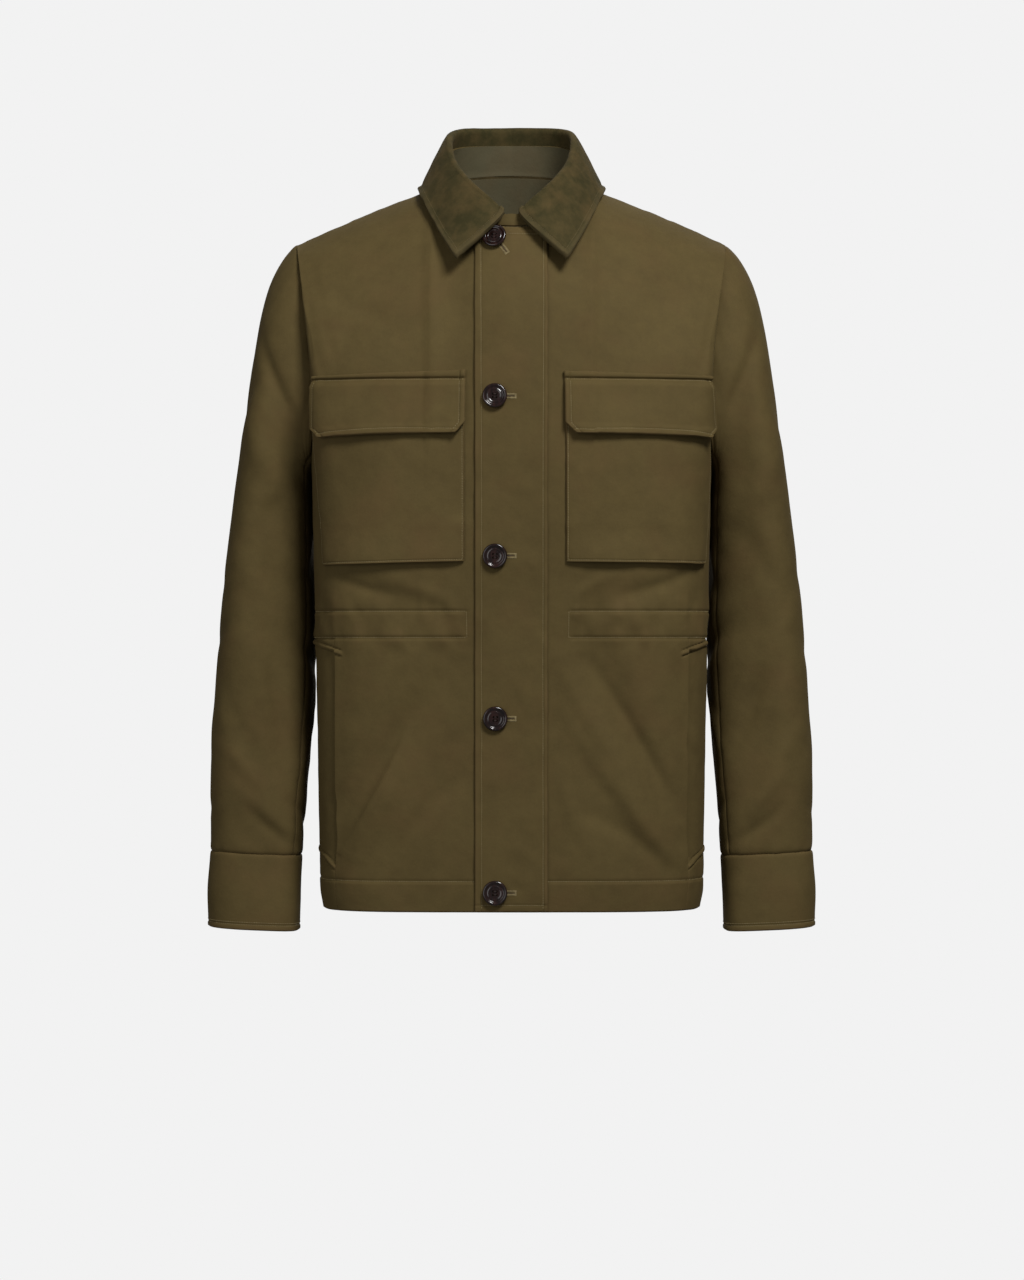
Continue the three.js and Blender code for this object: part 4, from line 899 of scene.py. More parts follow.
def distances(points: Array) -> dict[Rim, Array]:
    """Distance of each point of a grid from each border, along the cloth."""
    columns = np.linalg.norm(np.diff(points, axis=0), axis=-1)
    rows = np.linalg.norm(np.diff(points, axis=1), axis=-1)
    first = np.concatenate([np.zeros((1, points.shape[1])), np.cumsum(columns, 0)], 0)
    low = np.concatenate([np.zeros((points.shape[0], 1)), np.cumsum(rows, 1)], 1)
    return {Rim.FIRST: first, Rim.LAST: first[-1:] - first, Rim.LOW: low, Rim.HIGH: low[:, -1:] - low}


def grid_facing(points: Array, towards: Array, wrap: bool = False) -> Array:
    """Directions out of a grid of points.

    Args:
        points: The grid.
        towards: Rough directions, for the sense.
        wrap: Whether the last column meets the first.

    Returns:
        Directions of length one.
    """
    if wrap:
        points = np.concatenate([points[-1:], points, points[:1]], 0)
    out = unit(np.cross(np.gradient(points, axis=0), np.gradient(points, axis=1)))
    if wrap:
        out = out[1:-1]
    sense = np.sign(np.sum(out * towards, -1, keepdims=True))
    return out * np.where(sense == 0, 1, sense)


@dataclass
class Sheet:
    """One cut of cloth: a grid of points with its finish, made a closed thin wall."""

    name: str
    node: str
    slot: str
    flat: tuple[float, float]
    area: float | None
    held: str
    points: Array
    towards: Array
    edges: dict[Rim, Edge] = field(default_factory=dict)
    extra: Array | None = None
    wall: Array | float = 2.0
    wrap: bool = False
    keep: Array | None = None
    rests_on: tuple[str, ...] = ()
    away: dict[Rim, Array] = field(init=False)
    outside: Array = field(init=False)
    inside: Array = field(init=False)
    facing: Array = field(init=False)
    height: Array = field(init=False)

    def __post_init__(self) -> None:
        """Raises the sewn borders and works out both faces of the wall."""
        self.away = distances(self.points)
        height = np.zeros(self.points.shape[:2]) if self.extra is None else self.extra.copy()
        loss = np.zeros(height.shape)
        for rim, edge in self.edges.items():
            run = self.away[Rim.LOW] if rim in (Rim.FIRST, Rim.LAST) else self.away[Rim.FIRST]
            height += edge.soft(self.away[rim], run)
            loss += edge.rounded(self.away[rim])
        out = unit(self.towards)
        middle = self.points + out * height[..., None]
        self.outside = middle + out * loss[..., None]
        self.inside = middle - out * np.asarray(self.wall)[..., None]
        self.facing = unit(grid_facing(middle, out, self.wrap) + 0.6 * out)
        self.height = height

    def line(self, rim: Rim, away: float, start: float = 0.0, end: float = 0.0) -> tuple[Array, Array]:
        """A line on the cloth at a distance from a border.

        Args:
            rim: The border.
            away: Distance from it.
            start: Length left out at the beginning.
            end: Length left out at the end.

        Returns:
            Points along the line, and directions out of the cloth.
        """
        points, facing, gap = self.outside, self.facing, self.away[rim]
        if rim in (Rim.FIRST, Rim.LAST):
            points, facing, gap = (np.swapaxes(part, 0, 1) for part in (points, facing, gap))
        if rim in (Rim.LAST, Rim.HIGH):
            points, facing, gap = points[:, ::-1], facing[:, ::-1], gap[:, ::-1]
        found, out = [], []
        for column, way, far in zip(points, facing, gap):
            found.append([np.interp(away, far, column[:, axis]) for axis in range(3)])
            out.append([np.interp(away, far, way[:, axis]) for axis in range(3)])
        track, out = np.array(found), unit(np.array(out))
        run = np.concatenate([[0], np.cumsum(np.linalg.norm(np.diff(track, axis=0), axis=-1))])
        inner = (run >= start) & (run <= run[-1] - end)
        return track[inner], out[inner]

    def build(self, finish: bpy.types.Material, lining: bpy.types.Material | None = None) -> bpy.types.Object:
        """Args:
            finish: Material of the outer face.
            lining: Material of the inner face, or the same.

        Returns:
            The piece.
        """
        materials = [finish, lining or finish]
        piece = wall_piece(self, materials)
        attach(piece, "root")
        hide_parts(self.node)
        LOG.info("%s: %d faces", self.name, len(piece.data.polygons))
        return piece


def wall_piece(sheet: Sheet, materials: Sequence[bpy.types.Material]) -> bpy.types.Object:
    """Closed mesh of a sheet: outer face, inner face and rims.

    Args:
        sheet: The sheet.
        materials: Materials of the outer and the inner face.

    Returns:
        The mesh object, in metres at the origin.
    """
    outer, inner = sheet.outside, sheet.inside
    columns, rows = outer.shape[:2]
    cells = columns if sheet.wrap else columns - 1
    keep = np.ones((cells, rows - 1), bool) if sheet.keep is None else sheet.keep
    i, j = np.nonzero(keep)

    def at(layer: int, a: Array, b: Array) -> Array:
        """Index of a corner."""
        return layer * columns * rows + np.mod(a, columns) * rows + b

    def kept(a: Array, b: Array) -> Array:
        """Whether a cell is part of the sheet."""
        inside = (b >= 0) & (b < rows - 1)
        if not sheet.wrap:
            inside &= (a >= 0) & (a < cells)
        return inside & keep[np.mod(a, cells), np.clip(b, 0, rows - 2)]

    faces = [np.stack([at(0, i, j), at(0, i + 1, j), at(0, i + 1, j + 1), at(0, i, j + 1)], -1)]
    faces.append(np.stack([at(1, i, j), at(1, i, j + 1), at(1, i + 1, j + 1), at(1, i + 1, j)], -1))
    for di, dj, corners in (
        (-1, 0, ((0, 0, 0), (0, 0, 1), (1, 0, 1), (1, 0, 0))),
        (1, 0, ((0, 1, 1), (0, 1, 0), (1, 1, 0), (1, 1, 1))),
        (0, -1, ((0, 1, 0), (0, 0, 0), (1, 0, 0), (1, 1, 0))),
        (0, 1, ((0, 0, 1), (0, 1, 1), (1, 1, 1), (1, 0, 1))),
    ):
        open_side = ~kept(i + di, j + dj)
        a, b = i[open_side], j[open_side]
        faces.append(np.stack([at(layer, a + ci, b + cj) for layer, ci, cj in corners], -1))
    quads = np.concatenate(faces)
    kinds = np.concatenate([np.full(len(part), 1 if n == 1 else 0) for n, part in enumerate(faces)])
    points = np.concatenate([outer.reshape(-1, 3), inner.reshape(-1, 3)]) * MM
    a, b, c, d = (points[quads[:, n]] for n in range(4))
    if np.sum(np.cross(a, b) * c) + np.sum(np.cross(a, c) * d) < 0:
        quads = quads[:, ::-1]
    used, packed = np.unique(quads, return_inverse=True)
    quads = packed.reshape(quads.shape)
    across = sheet.away[Rim.FIRST].mean(1, keepdims=True) + 0 * sheet.away[Rim.FIRST]
    up = sheet.away[Rim.LOW].mean(0, keepdims=True) + 0 * sheet.away[Rim.LOW]
    place = np.stack([across, up], -1).reshape(-1, 2) * MM
    place = np.concatenate([place, place])[used]
    gap = np.minimum.reduce([sheet.away[rim] for rim in sheet.edges] or [sheet.away[Rim.LOW] + 99])
    # edge wear near the borders, plus painted light on raised relief and painted shade in troughs, taken from the
    # relief height
    edge_wear_and_relief_shade = np.exp(-gap / 1.6) + 0.35 * np.clip(sheet.height, -1, 1.5)
    edge_wear_and_relief_shade = np.concatenate([edge_wear_and_relief_shade.ravel(), edge_wear_and_relief_shade.ravel() * 0])[used]
    mesh = quad_mesh(sheet.name, points[used], quads, place, edge_wear_and_relief_shade)
    for material in materials:
        mesh.materials.append(material)
    mesh.polygons.foreach_set("material_index", kinds.astype(np.int32))
    piece = bpy.data.objects.new(sheet.name, mesh)
    bpy.context.scene.collection.objects.link(piece)
    return piece


def quad_mesh(name: str, points: Array, quads: Array, place: Array, edge_wear_and_relief_shade: Array) -> bpy.types.Mesh:
    """Smooth mesh of four-cornered faces with a cloth map and a value of edge wear and painted relief shading.

    Args:
        name: Name of the mesh.
        points: Corners in metres.
        quads: Corner numbers of each face.
        place: Place of each corner on the cloth, in metres.
        edge_wear_and_relief_shade: Edge wear of each corner, plus painted light on raised relief and painted shade in
            its troughs.

    Returns:
        The mesh.
    """
    mesh = bpy.data.meshes.new(name)
    mesh.vertices.add(len(points))
    mesh.vertices.foreach_set("co", points.astype(np.float32).ravel())
    mesh.loops.add(quads.size)
    mesh.loops.foreach_set("vertex_index", quads.astype(np.int32).ravel())
    mesh.polygons.add(len(quads))
    mesh.polygons.foreach_set("loop_start", (np.arange(len(quads)) * 4).astype(np.int32))
    mesh.update(calc_edges=True)
    layer = mesh.uv_layers.new(name="cloth")
    layer.data.foreach_set("uv", place[quads.ravel()].astype(np.float32).ravel())
    wear = mesh.attributes.new("wear", "FLOAT", "POINT")
    wear.data.foreach_set("value", edge_wear_and_relief_shade.astype(np.float32))
    mesh.polygons.foreach_set("use_smooth", np.ones(len(quads), bool))
    mesh.validate()
    mesh.set_sharp_from_angle(angle=math.radians(52))
    return mesh


# The jacket's sub-assemblies


def placed(curve: Callable[[Array], Array], start: float, end: float, fine: Sequence[tuple[float, float]],
           coarse_step: float, fine_step: float) -> Array:
    """Parameters whose points lie at chosen distances along a guide line.

    Args:
        curve: Points of the guide line for an array of parameters.
        start: First parameter.
        end: Last parameter.
        fine: Stretches that need detail, in millimetres from the start.
        coarse_step: Step elsewhere.
        fine_step: Step in those stretches.

    Returns:
        The parameters, ends included.
    """
    guide = np.linspace(start, end, 500)
    steps = np.linalg.norm(np.diff(curve(guide), axis=0), axis=-1)
    run = np.concatenate([[0], np.cumsum(steps)])
    shares = spaced(run[-1], fine, coarse_step, fine_step)
    return np.interp(shares * run[-1], run, guide)


def snapped(values: Array, exact: float) -> Array:
    """Values with the nearest inner one moved to an exact place."""
    values = values.copy()
    values[1 + np.argmin(np.abs(values[1:-1] - exact))] = exact
    return values


@dataclass
class Body:
    """Fronts, side panels, back and the strips of the waist casing."""

    form: TorsoForm
    hem_wall: float = 3.0
    wall: float = 2.0
    gap: float = 0.3
    step: float = 3.0
    back_step: float = 3.8
    fine_step: float = 1.1
    mouth_x: float = 167.5
    welt_width: float = 5.2
    # where each welt starts on the side, its slope, and where it ends on the front
    welts: tuple[tuple[float, ...], ...] = ((182, -441.2, 0.378, 159.5), (181.5, -638.9, 0.85, 166))
    seam: Edge = Edge(sink=0.9, pucker=0.45, pitch=10, seed=8)
    top_seam: Edge = Edge(sink=0.9, pucker=0.55, pitch=8, rounding=1.1, seed=9)

    def rises(self, low_only: bool = False) -> Array:
        """Rows of the torso from the hem up, close at its sewn lines."""
        fine = [(0, 4), (26, 33), (36, 60), (238, 290)]
        low = placed(lambda r: self.form.base(True, r * 0 + 0.3, r), 0, 1, fine, self.step, self.fine_step)
        for level in (self.form.hem_turn_z, self.form.casing_low_z, self.form.casing_top_z):
            low = snapped(low, self.rise_at(level))
        if low_only:
            return low[low <= self.rise_at(self.form.casing_low_z) + 1e-6]
        length = 300
        high = placed(lambda r: self.form.base(True, r * 0 + 0.45, r), 1, 2, [(length - 14, length)], self.step, 1.3)
        return np.concatenate([low, high[1:]])

    def rise_at(self, z: float) -> float:
        """Rise of a level below the armholes."""
        return (z - self.form.hem_z) / (self.form.join_z - self.form.hem_z)

    def shares(self, start: float, end: float, fine: Sequence[tuple[float, float]]) -> Array:
        """Columns of a half, close where there is detail."""
        return placed(lambda s: self.form.base(True, s, s * 0 + 0.6), start, end, fine, self.step, self.fine_step)

    def across(self, start: float) -> float:
        """Length round the front from a share to the hand pocket's mouth."""
        shares = np.linspace(start, self.form.pocket_share, 60)
        points = self.form.base(True, shares, shares * 0 + 0.6)
        return float(np.sum(np.linalg.norm(np.diff(points, axis=0), axis=-1)))

    def grid(self, front: bool, shares: Array, rises: Array) -> tuple[Array, Array, Array]:
        """Dressed points of the torso.

        Args:
            front: Whether it is the front half.
            shares: Columns.
            rises: Rows.

        Returns:
            The points, the directions out, and the height of the sewn lines.
        """
        share, rise = shares[:, None], rises[None, :]
        facing = self.form.facing(front, share, rise)
        points = self.form.dressed(front, share, rise)
        return points, facing, self.form.lines(points, facing)

    def walls(self, rises: Array, columns: int) -> Array:
        """Wall of each point: the hem is turned up."""
        turned = soft_step((self.rise_at(self.form.hem_turn_z) - rises) / 0.004)
        return np.tile(self.wall + (self.hem_wall - self.wall) * turned, (columns, 1))

    def pocket_mouth(self, side: Side, points: Array, panel: bool) -> Array:
        """Height of the hand pocket's mouth and its two sloped welts, on the front or on the side panel."""
        x, z = side.value * points[..., 0], points[..., 2]
        span = soft_step((z + 652) / 8) * soft_step((-446 - z) / 6)
        off = x - self.mouth_x
        edge = -2.5 * np.exp(-((off / 10) ** 2)) if panel else 0.9 * np.exp(-((off / 4.5) ** 2))
        height = edge * span
        for x0, z0, slope, inner in self.welts:
            off = z - z0 + slope * (x0 - x)
            band = soft_step((off + self.welt_width) / 0.9) * soft_step(-off / 0.9)
            lines = np.exp(-((off / 0.9) ** 2)) + np.exp(-(((off + self.welt_width) / 0.9) ** 2))
            reach = soft_step((x - inner) / 2.5) * soft_step((193 - x) / 6)
            height = height + reach * (1.1 * band - 1.1 * lines)
        return height

    def front(self, side: Side) -> Sheet:
        """A front, notched below the casing where its side panel fits."""
        start = -self.form.lap_share if side is Side.RIGHT else self.form.lap_share
        mouth = self.across(start)
        shares = self.shares(start, 1, [(0, 6), (mouth - 10, mouth + 4)])
        shares = snapped(shares, self.form.pocket_share)
        rises = self.rises()
        points, facing, lines = self.grid(True, shares * side.value, rises)
        far = np.minimum(shares[:-1], shares[1:]) > self.form.pocket_share - 1e-6
        low = np.maximum(rises[:-1], rises[1:]) < self.rise_at(self.form.casing_low_z) + 1e-6
        word = side.word
        return Sheet(
            name=f"front_{word}", node=f"front_{word}", slot="shell_cloth",
            flat=(0.303, 0.72) if side is Side.RIGHT else (0.249, 0.72),
            area=0.169 if side is Side.RIGHT else 0.134, held="hung",
            points=points, towards=facing, extra=lines + self.pocket_mouth(side, points, False),
            wall=self.walls(rises, len(shares)), keep=~(far[:, None] & low[None, :]),
            edges={Rim.FIRST: Edge(), Rim.LAST: self.seam, Rim.LOW: Edge(rounding=1.3), Rim.HIGH: self.top_seam},
        )

    def side_panel(self, side: Side) -> Sheet:
        """Side panel of the front, behind the hand pocket."""
        shares = self.shares(self.form.pocket_share, 1, [(0, 26)])
        rises = self.rises(low_only=True)
        rises[-1] = self.rise_at(self.form.casing_low_z + 1.1)
        points, facing, lines = self.grid(True, shares * side.value, rises)
        word = side.word
        return Sheet(
            name=f"side_panel_{word}", node=f"side_panel_{word}", slot="shell_cloth",
            flat=(0.103, 0.264), area=0.0268, held="hung", points=points, towards=facing,
            extra=lines + self.pocket_mouth(side, points, True), wall=self.walls(rises, len(shares)),
            edges={Rim.FIRST: Edge(sink=0.3), Rim.LAST: self.seam, Rim.LOW: Edge(rounding=1.3),
                   Rim.HIGH: Edge(sink=0.7, rounding=0.7)},
        )

    def back(self) -> Sheet:
        """Back, from side seam to side seam."""
        half = placed(lambda s: self.form.base(False, s, s * 0 + 0.6), 0, 1, [], self.back_step, self.fine_step)
        shares = np.concatenate([-half[:0:-1], half])
        rises = self.rises()
        points, facing, lines = self.grid(False, shares, rises)
        return Sheet(
            name="back", node="back", slot="shell_cloth", flat=(0.502, 0.721), area=0.34, held="hung",
            points=points, towards=facing, extra=lines, wall=self.walls(rises, len(shares)),
            edges={Rim.FIRST: self.seam, Rim.LAST: self.seam, Rim.LOW: Edge(rounding=1.3), Rim.HIGH: self.top_seam},
        )

    def strip(self, name: str, front: bool, shares: Array, rises: Array, slot: str, wall: float,
              flat: tuple[float, float], area: float | None = None) -> Sheet:
        """Strip sewn to the inside of the torso's wall.

        Args:
            name: Name of the strip and of its solid.
            front: Whether it lies on the front half.
            shares: Columns.
            rises: Rows.
            slot: Material slot.
            wall: Thickness.
            flat: Cut width and length in metres.
            area: Area of a cut that isn't a rectangle, in square metres.

        Returns:
            The sheet.
        """
        points, facing, lines = self.grid(front, shares, rises)
        points = points + facing * (lines - self.wall - self.gap)[..., None]
        return Sheet(name=name, node=name, slot=slot, flat=flat, area=area, held="hung", points=points,
                     towards=facing, wall=wall, edges={rim: Edge(rounding=0.5) for rim in Rim})

    def casings(self) -> list[Sheet]:
        """The three strips of the waist casing."""
        rises = np.linspace(self.rise_at(self.form.casing_low_z) + 0.003, self.rise_at(self.form.casing_top_z) - 0.003, 12)
        right = -self.shares(0.215, 0.945, [])
        left = self.shares(0.275, 0.945, [])
        half = self.shares(0, 0.945, [])
        both = np.concatenate([-half[:0:-1], half])
        return [
            self.strip("casing_front_right", True, right, rises, "shell_cloth", 1.8, (0.213, 0.023)),
            self.strip("casing_front_left", True, left, rises, "shell_cloth", 1.8, (0.2, 0.023)),
            self.strip("casing_back", False, both, rises, "shell_cloth", 1.8, (0.461, 0.023)),
        ]

    def facing_strip(self) -> Sheet:
        """Facing of lining cloth inside the back neck."""
        half = self.shares(0, 0.318, [])
        shares = np.concatenate([-half[:0:-1], half])
        rises = np.linspace(1.745, 1.994, 26)
        return self.strip("neck_facing", False, shares, rises, "lining_cloth", 1.3, (0.15, 0.088), 0.0125)


@dataclass
class Sleeves:
    """Top sleeve, under sleeve and cuff of each arm."""

    form: SleeveForm
    seam_front: float = 138.14
    seam_back: float = -117.21
    step: float = 3.0
    fine_step: float = 1.2

    def sheet(self, name: str, side: Side, turns: Array, alongs: Array, flat: tuple[float, float], area: float | None,
              edges: dict[Rim, Edge], wall: float = 2.0, wrap: bool = False, lift: Array | None = None) -> Sheet:
        """A panel of the sleeve.

        Args:
            name: Name of the panel and of its solid.
            side: Which arm.
            turns: Columns.
            alongs: Rows.
            flat: Cut width and length in metres.
            area: Area of a cut that isn't a rectangle, in square metres.
            edges: Finish of its borders.
            wall: Thickness.
            wrap: Whether it goes all round.
            lift: Further height of each row.

        Returns:
            The sheet.
        """
        points, facing = self.form.dressed(side, alongs[None, :], turns[:, None])
        extra = np.zeros(points.shape[:2]) + (0 if lift is None else lift[None, :])
        return Sheet(name=name, node=name, slot="shell_cloth", flat=flat, area=area, held="hung", points=points,
                     towards=facing, extra=extra, wall=wall, wrap=wrap, edges=edges)

    def turns(self, start: float, end: float) -> Array:
        """Columns round the sleeve."""
        return placed(lambda t: self.form.base(t * 0 + 0.4, t), start, end, [(0, 3)], self.step, self.fine_step)

    def sheets(self, side: Side) -> list[Sheet]:
        """The three panels of one arm."""
        rows = placed(lambda a: self.form.base(a, a * 0 + 30), 0, 1, [(0, 14), (588, 640)], self.step, self.fine_step)
        cuff_rows = placed(lambda a: self.form.base(a, a * 0 + 90), 1, self.form.end, [(0, 5), (60, 80)], 2.4, 1.0)
        whole = placed(lambda t: self.form.base(t * 0 + 1.06, t), 180, 540, [], self.step, self.step)[:-1]
        head = Edge(sink=0.8, pucker=1.0, pitch=8, rounding=1.2, seed=21 + side.value)
        low = Edge(sink=0.8, pucker=0.75, pitch=7, rounding=0.9, seed=25 + side.value)
        long_seam = Edge(sink=0.8, pucker=0.4, pitch=11, seed=29)
        edges = {Rim.LOW: head, Rim.HIGH: low, Rim.FIRST: long_seam, Rim.LAST: long_seam}
        cuff = {Rim.LOW: Edge(sink=0.5, rounding=1.1), Rim.HIGH: Edge(stitch=5.2, border=0.5, rounding=1.4, pucker=0.2)}
        word = side.word
        lift = 0.5 * soft_step((cuff_rows - 1) / 0.004)
        return [
            self.sheet(f"top_sleeve_{word}", side, self.turns(self.seam_back, self.seam_front), rows,
                       (0.29, 0.6), 0.129, edges),
            self.sheet(f"under_sleeve_{word}", side, self.turns(self.seam_front, self.seam_back + 360), rows,
                       (0.131, 0.437), 0.0421, edges),
            self.sheet(f"cuff_{word}", side, whole, cuff_rows, (0.267, 0.074), None, cuff, 2.6, True, lift),
        ]


@dataclass
class Collar:
    """Leaf and stand of the collar."""

    form: CollarForm
    wall: float = 2.4
    roll: float = 1.6
    edge_stitch: float = 6.6

    def leaf(self) -> Sheet:
        """Leaf with its thick stitched edge."""
        start = self.form.start
        turns = placed(lambda t: self.form.leaf(t, t * 0 + 0.9), start, 180, [(0, 9.5)], 2.6, 0.85)
        turns = np.concatenate([turns, 360 - turns[-2::-1]])
        across = placed(lambda a: self.form.leaf(a * 0 + 60, a), 0, 1, [(12, 22)], 2.4, 1.2)
        edge_start = placed(lambda a: self.form.leaf(a * 0 + 60, a), 0.4, 1, [(44, 70)], 2.4, 0.85)
        across = np.concatenate([across[across < 0.4], edge_start])
        turn, way = turns[:, None], across[None, :]
        points, facing = self.form.leaf(turn, way), self.form.leaf_facing(turn, way)
        soft = Crumple(broad=0.7, broad_size=30, fine=0.2, fine_size=8, seed=40).lift(points)
        soft = soft * soft_step((way - 0.12) / 0.3)
        front = Edge(stitch=self.edge_stitch, border=1.4, rounding=2.0)
        outer = Edge(stitch=self.edge_stitch, border=1.5, rounding=2.0, pucker=0.4, pitch=10)
        away = distances(points)
        near = np.minimum.reduce([away[rim] for rim in (Rim.FIRST, Rim.LAST, Rim.HIGH)])
        wall = self.wall + self.roll * soft_step((self.edge_stitch + 1 - near) / 3) * soft_step((way - 0.45) / 0.1)
        return Sheet(name="collar_leaf", node="collar_leaf", slot="collar_cloth", flat=(0.56, 0.083), area=0.0385,
                     held="folded", points=points + facing * soft[..., None], towards=facing, wall=wall,
                     edges={Rim.FIRST: front, Rim.LAST: front, Rim.HIGH: outer})

    def stand(self) -> Sheet:
        """Stand, a closed band since its ends lap at the centre front."""
        turns = placed(lambda t: self.form.stand(t, t * 0 + 0.5), 0, 360, [], 2.6, 2.6)[:-1]
        ups = placed(lambda u: self.form.stand(u * 0 + 180, u), 0.004, 0.996, [(0, 3)], 2.4, 1.0)
        turn, up = turns[:, None], ups[None, :]
        points, facing = self.form.stand(turn, up), self.form.stand_facing(turn, up)
        soft = Crumple(broad=0.35, broad_size=28, fine=0.1, fine_size=9, seed=44).lift(points)
        soft = soft * soft_step(up / 0.2) * soft_step((1 - up) / 0.2)
        return Sheet(name="collar_stand", node="collar_stand", slot="collar_cloth", flat=(0.49, 0.034), area=0.0136,
                     held="folded", points=points + facing * soft[..., None], towards=facing, wall=self.wall,
                     wrap=True, edges={Rim.LOW: Edge(sink=0.5, rounding=0.9)})


@dataclass(frozen=True)
class PatchRow:
    """Row of a patch in the front view: its outer end, its inner end, and its lift off the torso."""

    out_x: float
    out_z: float
    in_x: float
    in_z: float
    lift: float


@dataclass
class Patches:
    """Placket, chest pockets and flaps, laid on the fronts."""

    form: TorsoForm
    wall: float = 2.0
    placket_left: float = -34.5
    placket_right: float = 34.0
    placket_top: float = -47.5
    placket_bottom: float = -694.4
    placket_lift: float = 0.7
    flap_stitch: float = 5.6
    pocket_stitch: float = 1.9
    flaps: dict[Side, tuple[PatchRow, ...]] = field(
        default_factory=lambda: {
            Side.RIGHT: (
                PatchRow(-187, -189.5, -42.6, -185.2, 1.3),
                PatchRow(-187, -193, -42.6, -193, 1.3),
                PatchRow(-187, -200, -42.9, -200, 4.4),
                PatchRow(-184.5, -238, -43.3, -235, 4.8),
                PatchRow(-176.5, -248, -52.2, -245.4, 5),
            ),
            Side.LEFT: (
                PatchRow(188, -189, 48.4, -186, 1.3),
                PatchRow(188, -193, 49.2, -193, 1.3),
                PatchRow(188, -200, 49.5, -200, 4.4),
                PatchRow(187.3, -238, 50, -235.6, 4.8),
                PatchRow(180, -247.5, 60.4, -246, 5),
            ),
        }
    )
    pockets: dict[Side, tuple[PatchRow, ...]] = field(
        default_factory=lambda: {
            Side.RIGHT: (
                PatchRow(-186, -203, -44.4, -203, 1.3),
                PatchRow(-186.5, -250, -44.4, -250, 1.3),
                PatchRow(-182, -300, -44.4, -300, 1.3),
                PatchRow(-179, -335, -44.4, -335, 1.3),
                PatchRow(-177.8, -368, -44.4, -365, 1.3),
            ),
            Side.LEFT: (
                PatchRow(186.5, -203, 51.2, -203, 1.3),
                PatchRow(187, -250, 51.2, -250, 1.3),
                PatchRow(186.5, -300, 51.4, -300, 1.3),
                PatchRow(185.5, -335, 51.4, -335, 1.3),
                PatchRow(183, -366.5, 51.4, -365.5, 1.3),
            ),
        }
    )

    def placket(self) -> Sheet:
        """Placket with its folded free edge on the wearer's right."""
        width = self.placket_right - self.placket_left
        length = self.placket_top - self.placket_bottom
        xs = self.placket_left + width * spaced(width, [(0, 8.5), (width - 7, width)], 2.6, 0.8)
        zs = self.placket_bottom + length * spaced(length, [(0, 9)], 3.0, 1.0)
        x, z = np.meshgrid(xs, zs, indexing="ij")
        free = 0.5 * np.exp(-(((x - self.placket_left) / 7) ** 2)) * (1 + 0.6 * np.sin(z / 41.0) * np.sin(z / 17.0))
        points, facing = self.form.on_front(x, z, self.placket_lift + self.wall + free)
        soft = lattice_noise(np.stack([x / 22, z / 26, 0 * x], -1), 51) * 0.35
        for cx, cz, reach, height in ((22, -368, 10, 0.9), (4, -672, 11, -0.8), (14, -640, 13, 0.7), (-4, -300, 14, -0.5)):
            soft = soft + height * np.exp(-(((x - cx) / reach) ** 2) - ((z - cz + (x - cx) * 0.5) / 6) ** 2)
        bands = sum(0.8 * np.exp(-(((z - level) / 1.7) ** 2)) for level in (-52, -58))
        return Sheet(name="placket", node="placket", slot="shell_cloth", flat=(0.07, 0.656), area=None, held="hung",
                     points=points, towards=facing, extra=soft + bands * (np.abs(x) < 30), wall=self.wall,
                     rests_on=("front_right", "front_left"),
                     edges={Rim.FIRST: Edge(stitch=6.5, border=0.45, rounding=1.1, pucker=0.45, pitch=14, seed=52),
                            Rim.LAST: Edge(stitch=4.4, border=0.4, rounding=1.0, pucker=0.55, pitch=12, seed=53),
                            Rim.LOW: Edge(stitch=6.4, border=0.2, rounding=1.1), Rim.HIGH: Edge()})

    def patch(self, name: str, rows: tuple[PatchRow, ...], steps: Array, rise: Callable[[Array, Array], Array],
              edges: dict[Rim, Edge], flat: tuple[float, float], on: tuple[str, ...]) -> Sheet:
        """A patch from its rows.

        Args:
            name: Name of the patch and of its solid.
            rows: Its rows from the top down.
            steps: Rows of the grid, counted in rows of the table.
            rise: Further height for the share across and the row.
            edges: Finish of its borders.
            flat: Cut width and length in metres.
            on: What it lies on.

        Returns:
            The sheet.
        """
        table = np.array([[r.out_x, r.out_z, r.in_x, r.in_z, r.lift] for r in rows])
        keys = np.arange(len(rows))
        row = np.stack([np.interp(steps, keys, table[:, n]) for n in range(5)], -1)[None]
        width = abs(rows[1].in_x - rows[1].out_x)
        u = spaced(width, [(0, 8), (width - 8, width)], 2.6, 0.8)[:, None]
        x = row[..., 0] + (row[..., 2] - row[..., 0]) * u
        z = row[..., 1] + (row[..., 3] - row[..., 1]) * u
        lift = row[..., 4] + self.wall + rise(u + 0 * x, steps[None] + 0 * x)
        points, facing = self.form.on_front(x, z, lift)
        soft = lattice_noise(np.stack([x / 30, z / 24, 0 * x], -1), len(name) + int(x[0, 0] > 0)) * 0.4
        return Sheet(name=name, node=name, slot="shell_cloth", flat=flat, area=None, held="hung", points=points,
                     towards=facing, extra=soft, wall=self.wall, edges=edges, rests_on=on)

    def pocket(self, side: Side) -> Sheet:
        """Chest pocket, standing a little open along its bottom."""
        rows = self.pockets[side]
        parts = [np.linspace(0, 3.7, 54), np.linspace(3.72, 4, 16)]

        def open_bottom(u: Array, row: Array) -> Array:
            """Lift of the bottom border and fullness of the pocket."""
            wave = 1 + 0.35 * np.sin(u * 9 + side.value)
            low = soft_step((row - 2.9) / 1.1)
            return 3.0 * low * np.sin(math.pi * np.clip(u, 0, 1)) ** 0.5 * wave + 0.8 * np.sin(math.pi * u) * (row / 4)

